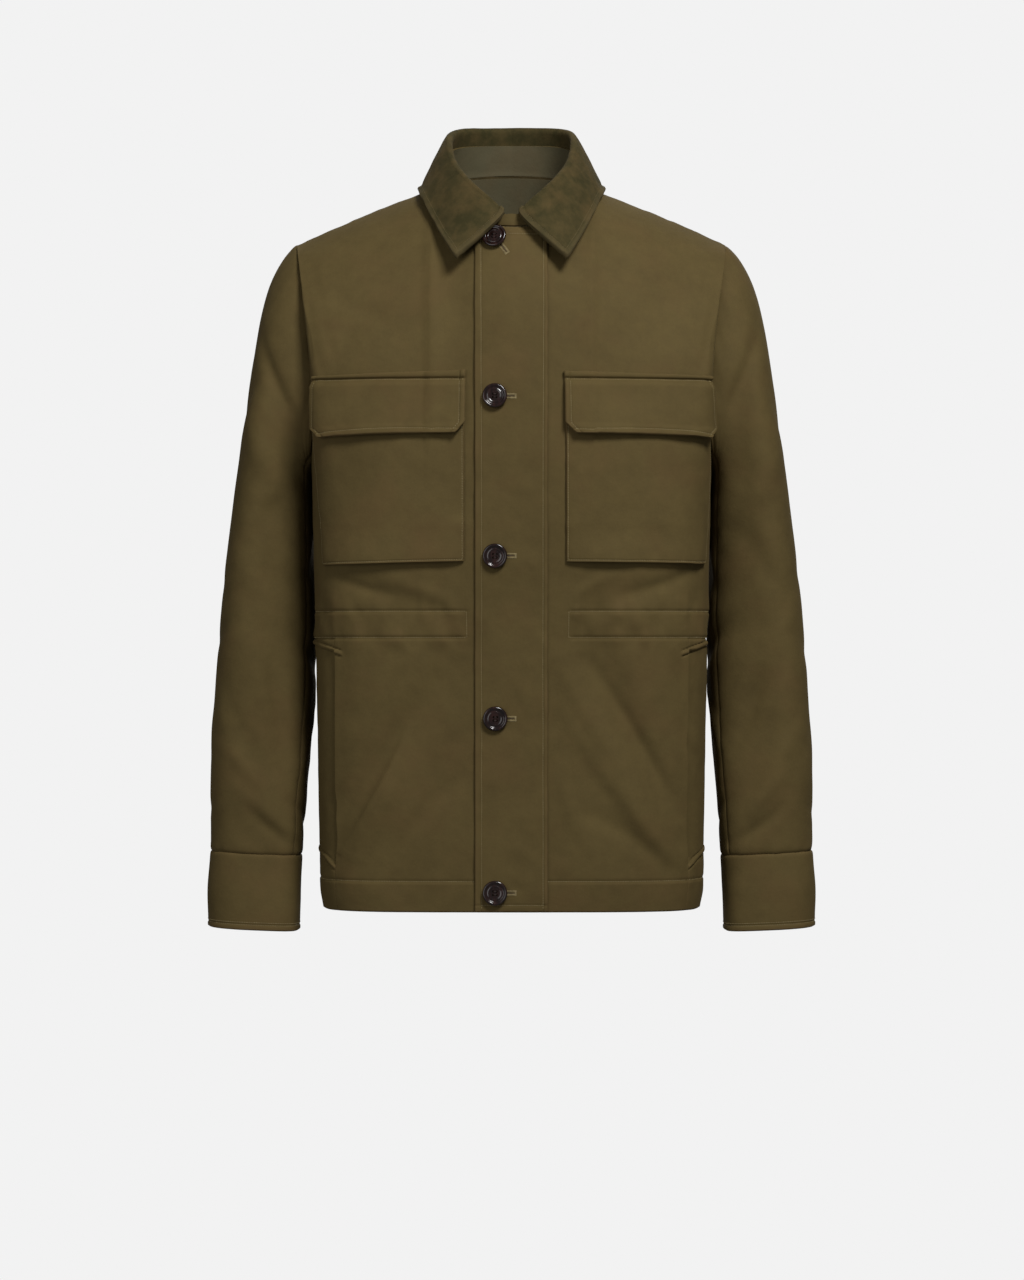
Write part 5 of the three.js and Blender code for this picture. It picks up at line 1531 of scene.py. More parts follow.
        edge = Edge(stitch=self.pocket_stitch, border=0.12, rounding=0.9, pucker=0.4, pitch=10, seed=61)
        return self.patch(f"pocket_{side.word}", rows, np.concatenate(parts), open_bottom,
                          {Rim.FIRST: edge, Rim.LAST: edge, Rim.HIGH: edge, Rim.LOW: Edge()}, (0.152, 0.165),
                          (f"front_{side.word}",))

    def flap(self, side: Side) -> Sheet:
        """Flap under its corded top seam, with clipped corners and a full stitched edge."""
        rows = self.flaps[side]
        parts = [np.linspace(0, 1, 9), np.linspace(1, 2, 8)[1:], np.linspace(2, 3, 24)[1:], np.linspace(3, 4, 14)[1:]]

        def corded(u: Array, row: Array) -> Array:
            """Height of the cord along the top and the wave of the lower edge."""
            cord = np.sqrt(np.clip(1 - (2 * np.clip(row, 0, 1) - 1) ** 2, 0, 1))
            wave = soft_step((row - 2) / 2) * (1.0 * np.sin(u * 8 + 1.3 * side.value) + 3.4)
            return 1.9 * cord * (row < 1.001) + wave - 0.9 * np.exp(-(((row - 1.12) / 0.12) ** 2))

        edge = Edge(stitch=self.flap_stitch, border=0.7, rounding=1.2, pucker=0.45, pitch=9, seed=66)
        return self.patch(f"flap_{side.word}", rows, np.concatenate(parts), corded,
                          {Rim.FIRST: edge, Rim.LAST: edge, Rim.HIGH: edge, Rim.LOW: Edge(rounding=0.7)},
                          (0.152, 0.066), (f"pocket_{side.word}",))


# Nodes


@dataclass(frozen=True)
class Wire:
    """Output of a node, used like a number in an expression."""

    board: "NodeBoard"
    socket: bpy.types.NodeSocket

    def math(self, operation: str, first: "Wire | float", second: "Wire | float" = 0.0) -> "Wire":
        """A Math node on two values."""
        node = self.board.node("ShaderNodeMath", {"operation": operation}, {0: first, 1: second})
        return Wire(self.board, node.outputs[0])

    def __add__(self, other: "Wire | float") -> "Wire":
        """Sum."""
        return self.math("ADD", self, other)

    def __radd__(self, other: float) -> "Wire":
        """Sum with a number in front."""
        return self.math("ADD", other, self)

    def __sub__(self, other: "Wire | float") -> "Wire":
        """Difference."""
        return self.math("SUBTRACT", self, other)

    def __rsub__(self, other: float) -> "Wire":
        """Difference from a number."""
        return self.math("SUBTRACT", other, self)

    def __mul__(self, other: "Wire | float") -> "Wire":
        """Product."""
        return self.math("MULTIPLY", self, other)

    def __rmul__(self, other: float) -> "Wire":
        """Product with a number in front."""
        return self.math("MULTIPLY", other, self)

    def __truediv__(self, other: "Wire | float") -> "Wire":
        """Quotient."""
        return self.math("DIVIDE", self, other)

    def sine(self) -> "Wire":
        """Sine."""
        return self.math("SINE", self)

    def within(self) -> "Wire":
        """The value held from 0 to 1."""
        return self.math("MINIMUM", self.math("MAXIMUM", self, 0.0), 1.0)


class NodeBoard:
    """Adds nodes to a shader or geometry tree."""

    def __init__(self, tree: bpy.types.NodeTree) -> None:
        """Keeps the tree."""
        self.tree = tree

    def node(self, kind: str, settings: dict[str, object] | None = None,
             inputs: dict[str | int, object] | None = None) -> bpy.types.Node:
        """Adds a node.

        Args:
            kind: Type of the node.
            settings: Its properties, and the stops of a ramp.
            inputs: Values or links of its sockets, by name or place.

        Returns:
            The node.
        """
        node = self.tree.nodes.new(kind)
        for key, value in (settings or {}).items():
            if key == "stops":
                self.set_stops(node, value)
            else:
                setattr(node, key, value)
        for key, value in (inputs or {}).items():
            if isinstance(value, Wire):
                self.tree.links.new(value.socket, node.inputs[key])
            elif isinstance(value, bpy.types.NodeSocket):
                self.tree.links.new(value, node.inputs[key])
            else:
                node.inputs[key].default_value = value
        return node

    @staticmethod
    def set_stops(node: bpy.types.Node, stops: Sequence[tuple[float, tuple[float, ...]]]) -> None:
        """Sets the stops of a ramp."""
        elements = node.color_ramp.elements
        while len(elements) < len(stops):
            elements.new(0.5)
        for element, (place, colour) in zip(elements, stops):
            element.position = place
            element.color = (*colour[:3], 1.0)

    def wire(self, node: bpy.types.Node, output: str | int = 0) -> Wire:
        """An output as a number."""
        return Wire(self, node.outputs[output])

    def noise(self, place: bpy.types.NodeSocket, scale: float, detail: float = 3.0, rough: float = 0.55) -> Wire:
        """Noise from 0 to 1 over places in metres."""
        inputs = {"Vector": place, "Scale": scale, "Detail": detail, "Roughness": rough}
        return self.wire(self.node("ShaderNodeTexNoise", None, inputs), "Fac")

    def mixed(self, share: Wire | float, first: object, second: object, blend: str = "MIX") -> bpy.types.NodeSocket:
        """Two colours mixed by a share."""
        settings = {"data_type": "RGBA", "blend_type": blend, "clamp_factor": True}
        return self.node("ShaderNodeMix", settings, {0: share, 6: first, 7: second}).outputs[2]


Colour = tuple[float, float, float]


def rgba(colour: Colour) -> tuple[float, float, float, float]:
    """Colour with full cover."""
    return (*colour, 1.0)


# Finishes


@dataclass(frozen=True)
class Finish:
    """What every finish has: a name, its colours and how it takes the light."""

    name: str
    dark: Colour
    light: Colour
    roughness: float
    sheen: float = 0.0
    sheen_roughness: float = 0.45
    specular: float = 0.3

    def begin(self) -> tuple[bpy.types.Material, NodeBoard, bpy.types.Node]:
        """Starts a material.

        Returns:
            The material, its board and its main shader.
        """
        material = bpy.data.materials.new(self.name)
        material.use_nodes = True
        board = NodeBoard(material.node_tree)
        shader = material.node_tree.nodes["Principled BSDF"]
        shader.inputs["Specular IOR Level"].default_value = self.specular
        if self.sheen:
            shader.inputs["Sheen Weight"].default_value = self.sheen
            shader.inputs["Sheen Roughness"].default_value = self.sheen_roughness
            tint = tuple(min(1.0, part * 4 + 0.08) for part in self.light)
            shader.inputs["Sheen Tint"].default_value = rgba(tint)
        return material, board, shader

    @staticmethod
    def link(board: NodeBoard, shader: bpy.types.Node, socket: str, value: Wire | bpy.types.NodeSocket) -> None:
        """Joins a value to a socket of the shader."""
        board.tree.links.new(value.socket if isinstance(value, Wire) else value, shader.inputs[socket])


@dataclass(frozen=True)
class WovenCloth(Finish):
    """Woven cloth with a fine diagonal rib, uneven dye, rubbed edges, and painted light on raised relief with painted
    shade in its troughs.
    """

    pitch: float = 0.0007
    depth: float = 0.00022
    # lighter colour of rubbed edges, also laid on raised relief as painted light
    rub_colour: Colour = (0.15, 0.1, 0.043)
    brown: Colour = (0.115, 0.068, 0.027)
    blotch: float = 0.55

    def material(self) -> bpy.types.Material:
        """Makes the material."""
        material, board, shader = self.begin()
        cloth = board.node("ShaderNodeUVMap", {"uv_map": "cloth"}).outputs["UV"]
        place = board.node("ShaderNodeTexCoord").outputs["Object"]
        parts = board.node("ShaderNodeSeparateXYZ", None, {0: cloth})
        u, v = board.wire(parts, 0), board.wire(parts, 1)
        turn = 2 * math.pi / self.pitch
        rib = ((u * 0.5 + v * 0.86) * turn).sine() * 0.5 + 0.5
        yarn = ((u * 0.86 - v * 0.5) * (turn * 0.8)).sine() * 0.5 + 0.5
        slub = board.noise(cloth, 900, 2)
        weave = rib * (0.6 + 0.4 * yarn) * 0.6 + slub * 0.8
        broad = board.noise(place, 14, 4, 0.6)
        near = board.noise(place, 75, 3, 0.6)
        grain = board.noise(cloth, 420, 3, 0.7)
        tone = ((broad - 0.5) * (1.7 * self.blotch) + (near - 0.5) * (1.1 * self.blotch) + 0.5
                + (grain - 0.5) * 0.35 + (rib - 0.5) * 0.10).within()
        # edge wear, with painted light on raised relief and painted shade in troughs
        edge_wear_and_relief_shade = board.wire(board.node("ShaderNodeAttribute", {"attribute_name": "wear"}), "Fac")
        base = board.mixed(tone, rgba(self.dark), rgba(self.light))
        warm = ((board.noise(place, 20, 3, 0.55) - 0.47) * 2.4 + (edge_wear_and_relief_shade - 0.1) * 0.35).within()
        tinted = board.mixed(warm * 0.5, base, rgba(self.brown))
        # lighter where the edges are rubbed, and as painted light where the relief is raised
        wear_and_relief_shade_share = ((edge_wear_and_relief_shade - 0.25) * 0.42 * (0.5 + near)).within()
        colour = board.mixed(wear_and_relief_shade_share, tinted, rgba(self.rub_colour))
        self.link(board, shader, "Base Color", colour)
        self.link(board, shader, "Roughness", self.roughness + (near - 0.5) * 0.12)
        bump = board.node("ShaderNodeBump", None, {"Strength": 0.26, "Distance": self.depth, "Height": weave})
        soft = board.node("ShaderNodeBump", None, {"Strength": 0.35, "Distance": 0.0012, "Height": near,
                                                    "Normal": bump.outputs[0]})
        self.link(board, shader, "Normal", soft.outputs[0])
        return material


@dataclass(frozen=True)
class NappedCloth(Finish):
    """Brushed cloth whose short nap lies unevenly, in olive and brown patches."""

    brown: Colour = (0.10, 0.062, 0.024)

    def material(self) -> bpy.types.Material:
        """Makes the material."""
        material, board, shader = self.begin()
        place = board.node("ShaderNodeTexCoord").outputs["Object"]
        patches = board.noise(place, 62, 4, 0.62)
        lie = board.noise(place, 210, 3, 0.6)
        fibre = board.noise(place, 1500, 2, 0.7)
        tone = ((patches - 0.5) * 3.0 + (lie - 0.5) * 0.9 + 0.5 + (fibre - 0.5) * 0.3).within()
        base = board.mixed(tone, rgba(self.dark), rgba(self.light))
        warm = ((board.noise(place, 30, 3) - 0.48) * 3.4).within()
        colour = board.mixed(warm * 0.5, base, rgba(self.brown))
        # edge wear, with painted light on raised relief and painted shade in troughs, lightening the nap
        edge_wear_and_relief_shade = board.wire(board.node("ShaderNodeAttribute", {"attribute_name": "wear"}), "Fac")
        wear_and_relief_shade_share = ((edge_wear_and_relief_shade - 0.2) * 0.45).within()
        self.link(board, shader, "Base Color", board.mixed(wear_and_relief_shade_share, colour, rgba((0.13, 0.1, 0.048))))
        self.link(board, shader, "Roughness", self.roughness + (lie - 0.5) * 0.15)
        height = fibre * 0.5 + lie * 0.8
        bump = board.node("ShaderNodeBump", None, {"Strength": 0.6, "Distance": 0.0006, "Height": height})
        self.link(board, shader, "Normal", bump.outputs[0])
        return material


@dataclass(frozen=True)
class Horn(Finish):
    """Polished dark horn, faintly streaked."""

    def material(self) -> bpy.types.Material:
        """Makes the material."""
        material, board, shader = self.begin()
        place = board.node("ShaderNodeTexCoord").outputs["Object"]
        stretched = board.node("ShaderNodeMapping", None, {"Vector": place, "Scale": (1.0, 1.0, 0.3)}).outputs[0]
        streak = board.noise(stretched, 260, 4, 0.65)
        fine = board.noise(place, 1300, 2)
        tone = ((streak - 0.42) * 2.2 + (fine - 0.5) * 0.2).within()
        self.link(board, shader, "Base Color", board.mixed(tone, rgba(self.dark), rgba(self.light)))
        self.link(board, shader, "Roughness", self.roughness + (fine - 0.5) * 0.1)
        shader.inputs["Coat Weight"].default_value = 0.35
        shader.inputs["Coat Roughness"].default_value = 0.06
        bump = board.node("ShaderNodeBump", None, {"Strength": 0.15, "Distance": 0.0002, "Height": fine})
        self.link(board, shader, "Normal", bump.outputs[0])
        return material


@dataclass(frozen=True)
class Thread(Finish):
    """Twisted sewing thread."""

    def material(self) -> bpy.types.Material:
        """Makes the material."""
        material, board, shader = self.begin()
        place = board.node("ShaderNodeTexCoord").outputs["Object"]
        twist = board.noise(place, 2600, 1)
        tone = ((board.noise(place, 300, 2) - 0.5) * 1.6 + 0.5 + (twist - 0.5) * 0.5).within()
        self.link(board, shader, "Base Color", board.mixed(tone, rgba(self.dark), rgba(self.light)))
        self.link(board, shader, "Roughness", self.roughness + (twist - 0.5) * 0.2)
        bump = board.node("ShaderNodeBump", None, {"Strength": 0.4, "Distance": 0.0001, "Height": twist})
        self.link(board, shader, "Normal", bump.outputs[0])
        return material


@dataclass
class Finishes:
    """Materials of the jacket."""

    shell: bpy.types.Material = field(init=False)
    inside: bpy.types.Material = field(init=False)
    collar: bpy.types.Material = field(init=False)
    lining: bpy.types.Material = field(init=False)
    horn: bpy.types.Material = field(init=False)
    thread: bpy.types.Material = field(init=False)
    nap_thread: bpy.types.Material = field(init=False)
    dark_thread: bpy.types.Material = field(init=False)

    def __post_init__(self) -> None:
        """Makes every material."""
        self.shell = WovenCloth("shell_twill", (0.0736, 0.0515, 0.0179), (0.1196, 0.0865, 0.0313), 0.8, 0.06,
                                specular=0.12).material()
        # wrong side of the shell twill, made darker than the outer face as painted shade for the inside of the hollow
        # jacket
        self.inside = WovenCloth("shell_twill_wrong_side", (0.066, 0.05, 0.021), (0.092, 0.071, 0.031), 0.84,
                                 0.04, specular=0.1).material()
        self.collar = NappedCloth("collar_nap", (0.041, 0.035, 0.013), (0.075, 0.056, 0.0215), 0.9, 0.1,
                                  specular=0.1).material()
        self.lining = WovenCloth("lining_plain", (0.092, 0.08, 0.043), (0.122, 0.106, 0.058), 0.66, 0.06,
                                 specular=0.2, pitch=0.0005, depth=0.0001, blotch=0.3).material()
        self.horn = Horn("button_horn", (0.008, 0.003, 0.0026), (0.04, 0.013, 0.01), 0.16, specular=0.5).material()
        self.thread = Thread("thread_olive", (0.16, 0.122, 0.053), (0.31, 0.245, 0.118), 0.6).material()
        self.nap_thread = Thread("thread_brown", (0.1, 0.072, 0.03), (0.18, 0.135, 0.06), 0.65).material()
        # dark thread of the buttons, also laid in the buttonhole slits as painted shade
        self.dark_thread = Thread("thread_dark", (0.02, 0.012, 0.01), (0.05, 0.03, 0.024), 0.5).material()


# Sewing and buttons


@dataclass
class StitchRun:
    """Stitches of a seam: their places, the way they run and the way out of the cloth."""

    places: Array
    ways: Array
    outs: Array

    @classmethod
    def along(cls, track: Array, outs: Array, pitch: float, lift: float = 0.08) -> "StitchRun":
        """Stitches at even steps along a line.

        Args:
            track: Points of the line.
            outs: Directions out of the cloth along it.
            pitch: Step from stitch to stitch.
            lift: How far their middles stand above the cloth.

        Returns:
            The run.
        """
        run = np.concatenate([[0], np.cumsum(np.linalg.norm(np.diff(track, axis=0), axis=-1))])
        count = max(int(run[-1] / pitch), 1)
        middles = (np.arange(count) + 0.5) * run[-1] / count
        half = pitch * 0.3

        def at(values: Array, where: Array) -> Array:
            """Values along the line."""
            return np.stack([np.interp(where, run, values[:, axis]) for axis in range(3)], -1)

        ways = unit(at(track, middles + half) - at(track, middles - half))
        out = unit(at(outs, middles))
        return cls(at(track, middles) + out * lift, ways, out)


@dataclass(frozen=True)
class StitchNodes:
    """Geometry tree that sets a thread stitch on every point of a seam."""

    name: str = "thread_stitches"

    def tree(self) -> bpy.types.NodeTree:
        """Builds the tree."""
        tree = bpy.data.node_groups.new(self.name, "GeometryNodeTree")
        tree.interface.new_socket("Geometry", in_out="INPUT", socket_type="NodeSocketGeometry")
        for label in ("Length", "Width", "Height", "Unevenness"):
            tree.interface.new_socket(label, in_out="INPUT", socket_type="NodeSocketFloat")
        tree.interface.new_socket("Seed", in_out="INPUT", socket_type="NodeSocketInt")
        tree.interface.new_socket("Thread", in_out="INPUT", socket_type="NodeSocketMaterial")
        tree.interface.new_socket("Geometry", in_out="OUTPUT", socket_type="NodeSocketGeometry")
        board = NodeBoard(tree)
        given = board.node("NodeGroupInput").outputs
        stitch = board.node("GeometryNodeMeshUVSphere", None, {"Segments": 6, "Rings": 4, "Radius": 0.5})
        ways = [
            board.node("GeometryNodeInputNamedAttribute", {"data_type": "FLOAT_VECTOR"}, {"Name": name}).outputs[0]
            for name in ("way", "out")
        ]
        turned = board.node("FunctionNodeAxesToRotation", {"primary_axis": "X", "secondary_axis": "Z"},
                            {0: ways[0], 1: ways[1]})
        size = board.node("ShaderNodeCombineXYZ", None,
                          {0: given["Length"], 1: given["Width"], 2: given["Height"]})
        uneven = Wire(board, given["Unevenness"])
        chance = board.node("FunctionNodeRandomValue", {"data_type": "FLOAT"},
                            {2: (1.0 - uneven), 3: (1.0 + uneven), "Seed": given["Seed"]})
        scaled = board.node("ShaderNodeVectorMath", {"operation": "SCALE"},
                            {0: size.outputs[0], "Scale": chance.outputs[1]})
        set_out = board.node("GeometryNodeInstanceOnPoints", None,
                             {"Points": given["Geometry"], "Instance": stitch.outputs[0],
                              "Rotation": turned.outputs[0], "Scale": scaled.outputs[0]})
        real = board.node("GeometryNodeRealizeInstances", None, {"Geometry": set_out.outputs[0]})
        smooth = board.node("GeometryNodeSetShadeSmooth", None, {"Geometry": real.outputs[0]})
        finished = board.node("GeometryNodeSetMaterial", None,
                              {"Geometry": smooth.outputs[0], "Material": given["Thread"]})
        board.node("NodeGroupOutput", None, {0: finished.outputs[0]})
        return tree

    def sew(self, name: str, tree: bpy.types.NodeTree, runs: Sequence[StitchRun], size: tuple[float, float, float],
            thread: bpy.types.Material, seed: int) -> bpy.types.Object:
        """Makes the stitches of several runs as one plain mesh.

        Args:
            name: Name of the piece.
            tree: The tree of stitches.
            runs: The runs.
            size: Length, width and height of a stitch in millimetres.
            thread: Material.
            seed: Seed of the unevenness.

        Returns:
            The piece.
        """
        places = np.concatenate([run.places for run in runs]) * MM
        mesh = bpy.data.meshes.new(name)
        mesh.vertices.add(len(places))
        mesh.vertices.foreach_set("co", places.astype(np.float32).ravel())
        for label, values in (("way", [run.ways for run in runs]), ("out", [run.outs for run in runs])):
            layer = mesh.attributes.new(label, "FLOAT_VECTOR", "POINT")
            layer.data.foreach_set("vector", np.concatenate(values).astype(np.float32).ravel())
        piece = bpy.data.objects.new(name, mesh)
        bpy.context.scene.collection.objects.link(piece)
        modifier = piece.modifiers.new("stitches", "NODES")
        modifier.node_group = tree
        values = dict(zip(("Length", "Width", "Height"), (part * MM for part in size)))
        values.update({"Unevenness": 0.12, "Seed": seed, "Thread": thread})
        for item in tree.interface.items_tree:
            if item.in_out == "INPUT" and item.name in values:
                modifier[item.identifier] = values[item.name]
        graph = bpy.context.evaluated_depsgraph_get()
        made = bpy.data.meshes.new_from_object(piece.evaluated_get(graph))
        piece.modifiers.clear()
        piece.data = made
        bpy.data.meshes.remove(mesh)
        for label in ("way", "out"):
            if label in made.attributes:
                made.attributes.remove(made.attributes[label])
        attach(piece, "root")
        LOG.info("%s: %d stitches", name, len(places))
        return piece


def at_level(sheet: Sheet, z: float, keep: Callable[[Array], Array]) -> tuple[Array, Array]:
    """Level line on a torso panel.

    Args:
        sheet: The panel, with rows that rise.
        z: Height of the line.
        keep: Which columns count, for their places across.

    Returns:
        Points along the line, and directions out of the cloth.
    """
    found, outs = [], []
    for column, way in zip(sheet.outside, sheet.facing):
        found.append([np.interp(z, column[:, 2], column[:, axis]) for axis in range(3)])
        outs.append([np.interp(z, column[:, 2], way[:, axis]) for axis in range(3)])
    track, outs = np.array(found), unit(np.array(outs))
    counted = keep(track[:, 0])
    return track[counted], outs[counted]


@dataclass
class Sewing:
    """Topstitching of the whole jacket."""

    body: Body
    patches: Patches
    sheets: dict[str, Sheet]
    pitch: float = 2.3

    def run(self, name: str, rim: Rim, away: float, start: float = 0.0, end: float = 0.0) -> StitchRun:
        """Stitches along a border of a sheet."""
        return StitchRun.along(*self.sheets[name].line(rim, away, start, end), self.pitch)

    def grid_line(self, name: str, columns: Array, rows: Array) -> StitchRun:
        """Stitches along a line given by places in a sheet's grid."""
        points, outs = grid_at(self.sheets[name], columns, rows)
        return StitchRun.along(points, outs, self.pitch)

    def body_runs(self) -> list[StitchRun]:
        """Stitches of the hem, the casing and the placket."""
        form = self.body.form
        runs = []
        for name, reach in (("front_right", lambda x: x < -33), ("front_left", lambda x: x > 33)):
            hem = at_level(self.sheets[name], form.hem_turn_z, lambda x: reach(x) & (np.abs(x) < 165))
            runs.append(StitchRun.along(*hem, self.pitch))
        for name in ("side_panel_right", "side_panel_left", "back"):
            runs.append(StitchRun.along(*at_level(self.sheets[name], form.hem_turn_z, lambda x: np.abs(x) < 999),
                                        self.pitch))
        for level in (form.casing_low_z + 0.4, form.casing_top_z):
            runs.append(StitchRun.along(*at_level(self.sheets["front_right"], level, lambda x: x < -41.5), self.pitch))
            runs.append(StitchRun.along(*at_level(self.sheets["front_left"], level, lambda x: x > 53.2), self.pitch))
            runs.append(StitchRun.along(*at_level(self.sheets["back"], level, lambda x: np.abs(x) < 999), self.pitch))
        for name, x in (("front_right", -42.0), ("front_left", 53.6)):
            sheet = self.sheets[name]
            middle = sheet.outside[:, sheet.outside.shape[1] // 3, 0]
            column = np.interp(x, *sorted_pair(middle, np.arange(len(middle))))
            levels = np.linspace(form.casing_low_z, form.casing_top_z, 14)
            rows = np.interp(levels, sheet.outside[int(column), :, 2], np.arange(sheet.outside.shape[1]))
            runs.append(self.grid_line(name, np.full(14, column), rows))
        runs += [self.run("placket", Rim.FIRST, 6.5, 3, 4), self.run("placket", Rim.LAST, 4.4, 3, 4),
                 self.run("placket", Rim.LOW, 6.4, 7, 5)]
        placket = self.sheets["placket"]
        columns = np.linspace(4, placket.outside.shape[0] - 5, 20)
        top = np.interp(-53.2, placket.outside[10, :, 2], np.arange(placket.outside.shape[1]))
        runs.append(self.grid_line("placket", columns, np.full(20, top)))
        return runs

    def chest_runs(self) -> list[StitchRun]:
        """Stitches of the pockets and the flaps."""
        runs = []
        for side in Side:
            pocket, flap = f"pocket_{side.word}", f"flap_{side.word}"
            near, far = self.patches.pocket_stitch, self.patches.flap_stitch
            runs += [self.run(pocket, Rim.FIRST, near, 30, near), self.run(pocket, Rim.LAST, near, 30, near)]
            runs += [self.run(pocket, Rim.HIGH, near, near, near)]
            runs += [self.run(flap, Rim.FIRST, far, 11, far), self.run(flap, Rim.LAST, far, 13, far)]
            runs += [self.run(flap, Rim.HIGH, far, far * 0.6, far * 0.6)]
            count = self.sheets[flap].outside.shape[0]
            runs.append(self.grid_line(flap, np.linspace(2, count - 3, 40), np.full(40, 9.4)))
        return runs

    def collar_runs(self) -> list[StitchRun]:
        """Stitches round the leaf of the collar."""
        leaf = self.sheets["collar_leaf"]
        inner = float(leaf.away[Rim.LOW][0, int(np.argmin(np.abs(leaf.away[Rim.LOW][0] - 14)))])
        away = 6.6
        return [self.run("collar_leaf", Rim.HIGH, away, away, away),
                self.run("collar_leaf", Rim.FIRST, away, inner, away),
                self.run("collar_leaf", Rim.LAST, away, inner, away)]

    def cuff_runs(self) -> list[StitchRun]:
        """Stitches round the ends of the cuffs."""
        return [self.run(f"cuff_{side.word}", Rim.HIGH, away) for side in Side for away in (5.2, 7.4)]


def sorted_pair(keys: Array, values: Array) -> tuple[Array, Array]:
    """Two arrays in the order of the first."""
    order = np.argsort(keys)
    return keys[order], values[order]


def grid_at(sheet: Sheet, columns: Array, rows: Array) -> tuple[Array, Array]:
    """Places between the points of a sheet's grid.

    Args:
        sheet: The sheet.
        columns: Places counted in columns.
        rows: Places counted in rows.

    Returns:
        The points, and directions out of the cloth.
    """
    i = np.clip(np.floor(columns).astype(int), 0, sheet.outside.shape[0] - 2)
    j = np.clip(np.floor(rows).astype(int), 0, sheet.outside.shape[1] - 2)
    a, b = (columns - i)[..., None], (rows - j)[..., None]

    def blend(grid: Array) -> Array:
        """Value between four corners."""
        low = grid[i, j] * (1 - a) + grid[i + 1, j] * a
        high = grid[i, j + 1] * (1 - a) + grid[i + 1, j + 1] * a
        return low * (1 - b) + high * b

    return blend(sheet.outside), unit(blend(sheet.facing))


@dataclass(frozen=True)
class ButtonPlace:
    """Height of a button on the placket, its tilt, and the slant of its hole, in degrees."""

    z: float
    swing: float
    nod: float
    slant: float = 0.0


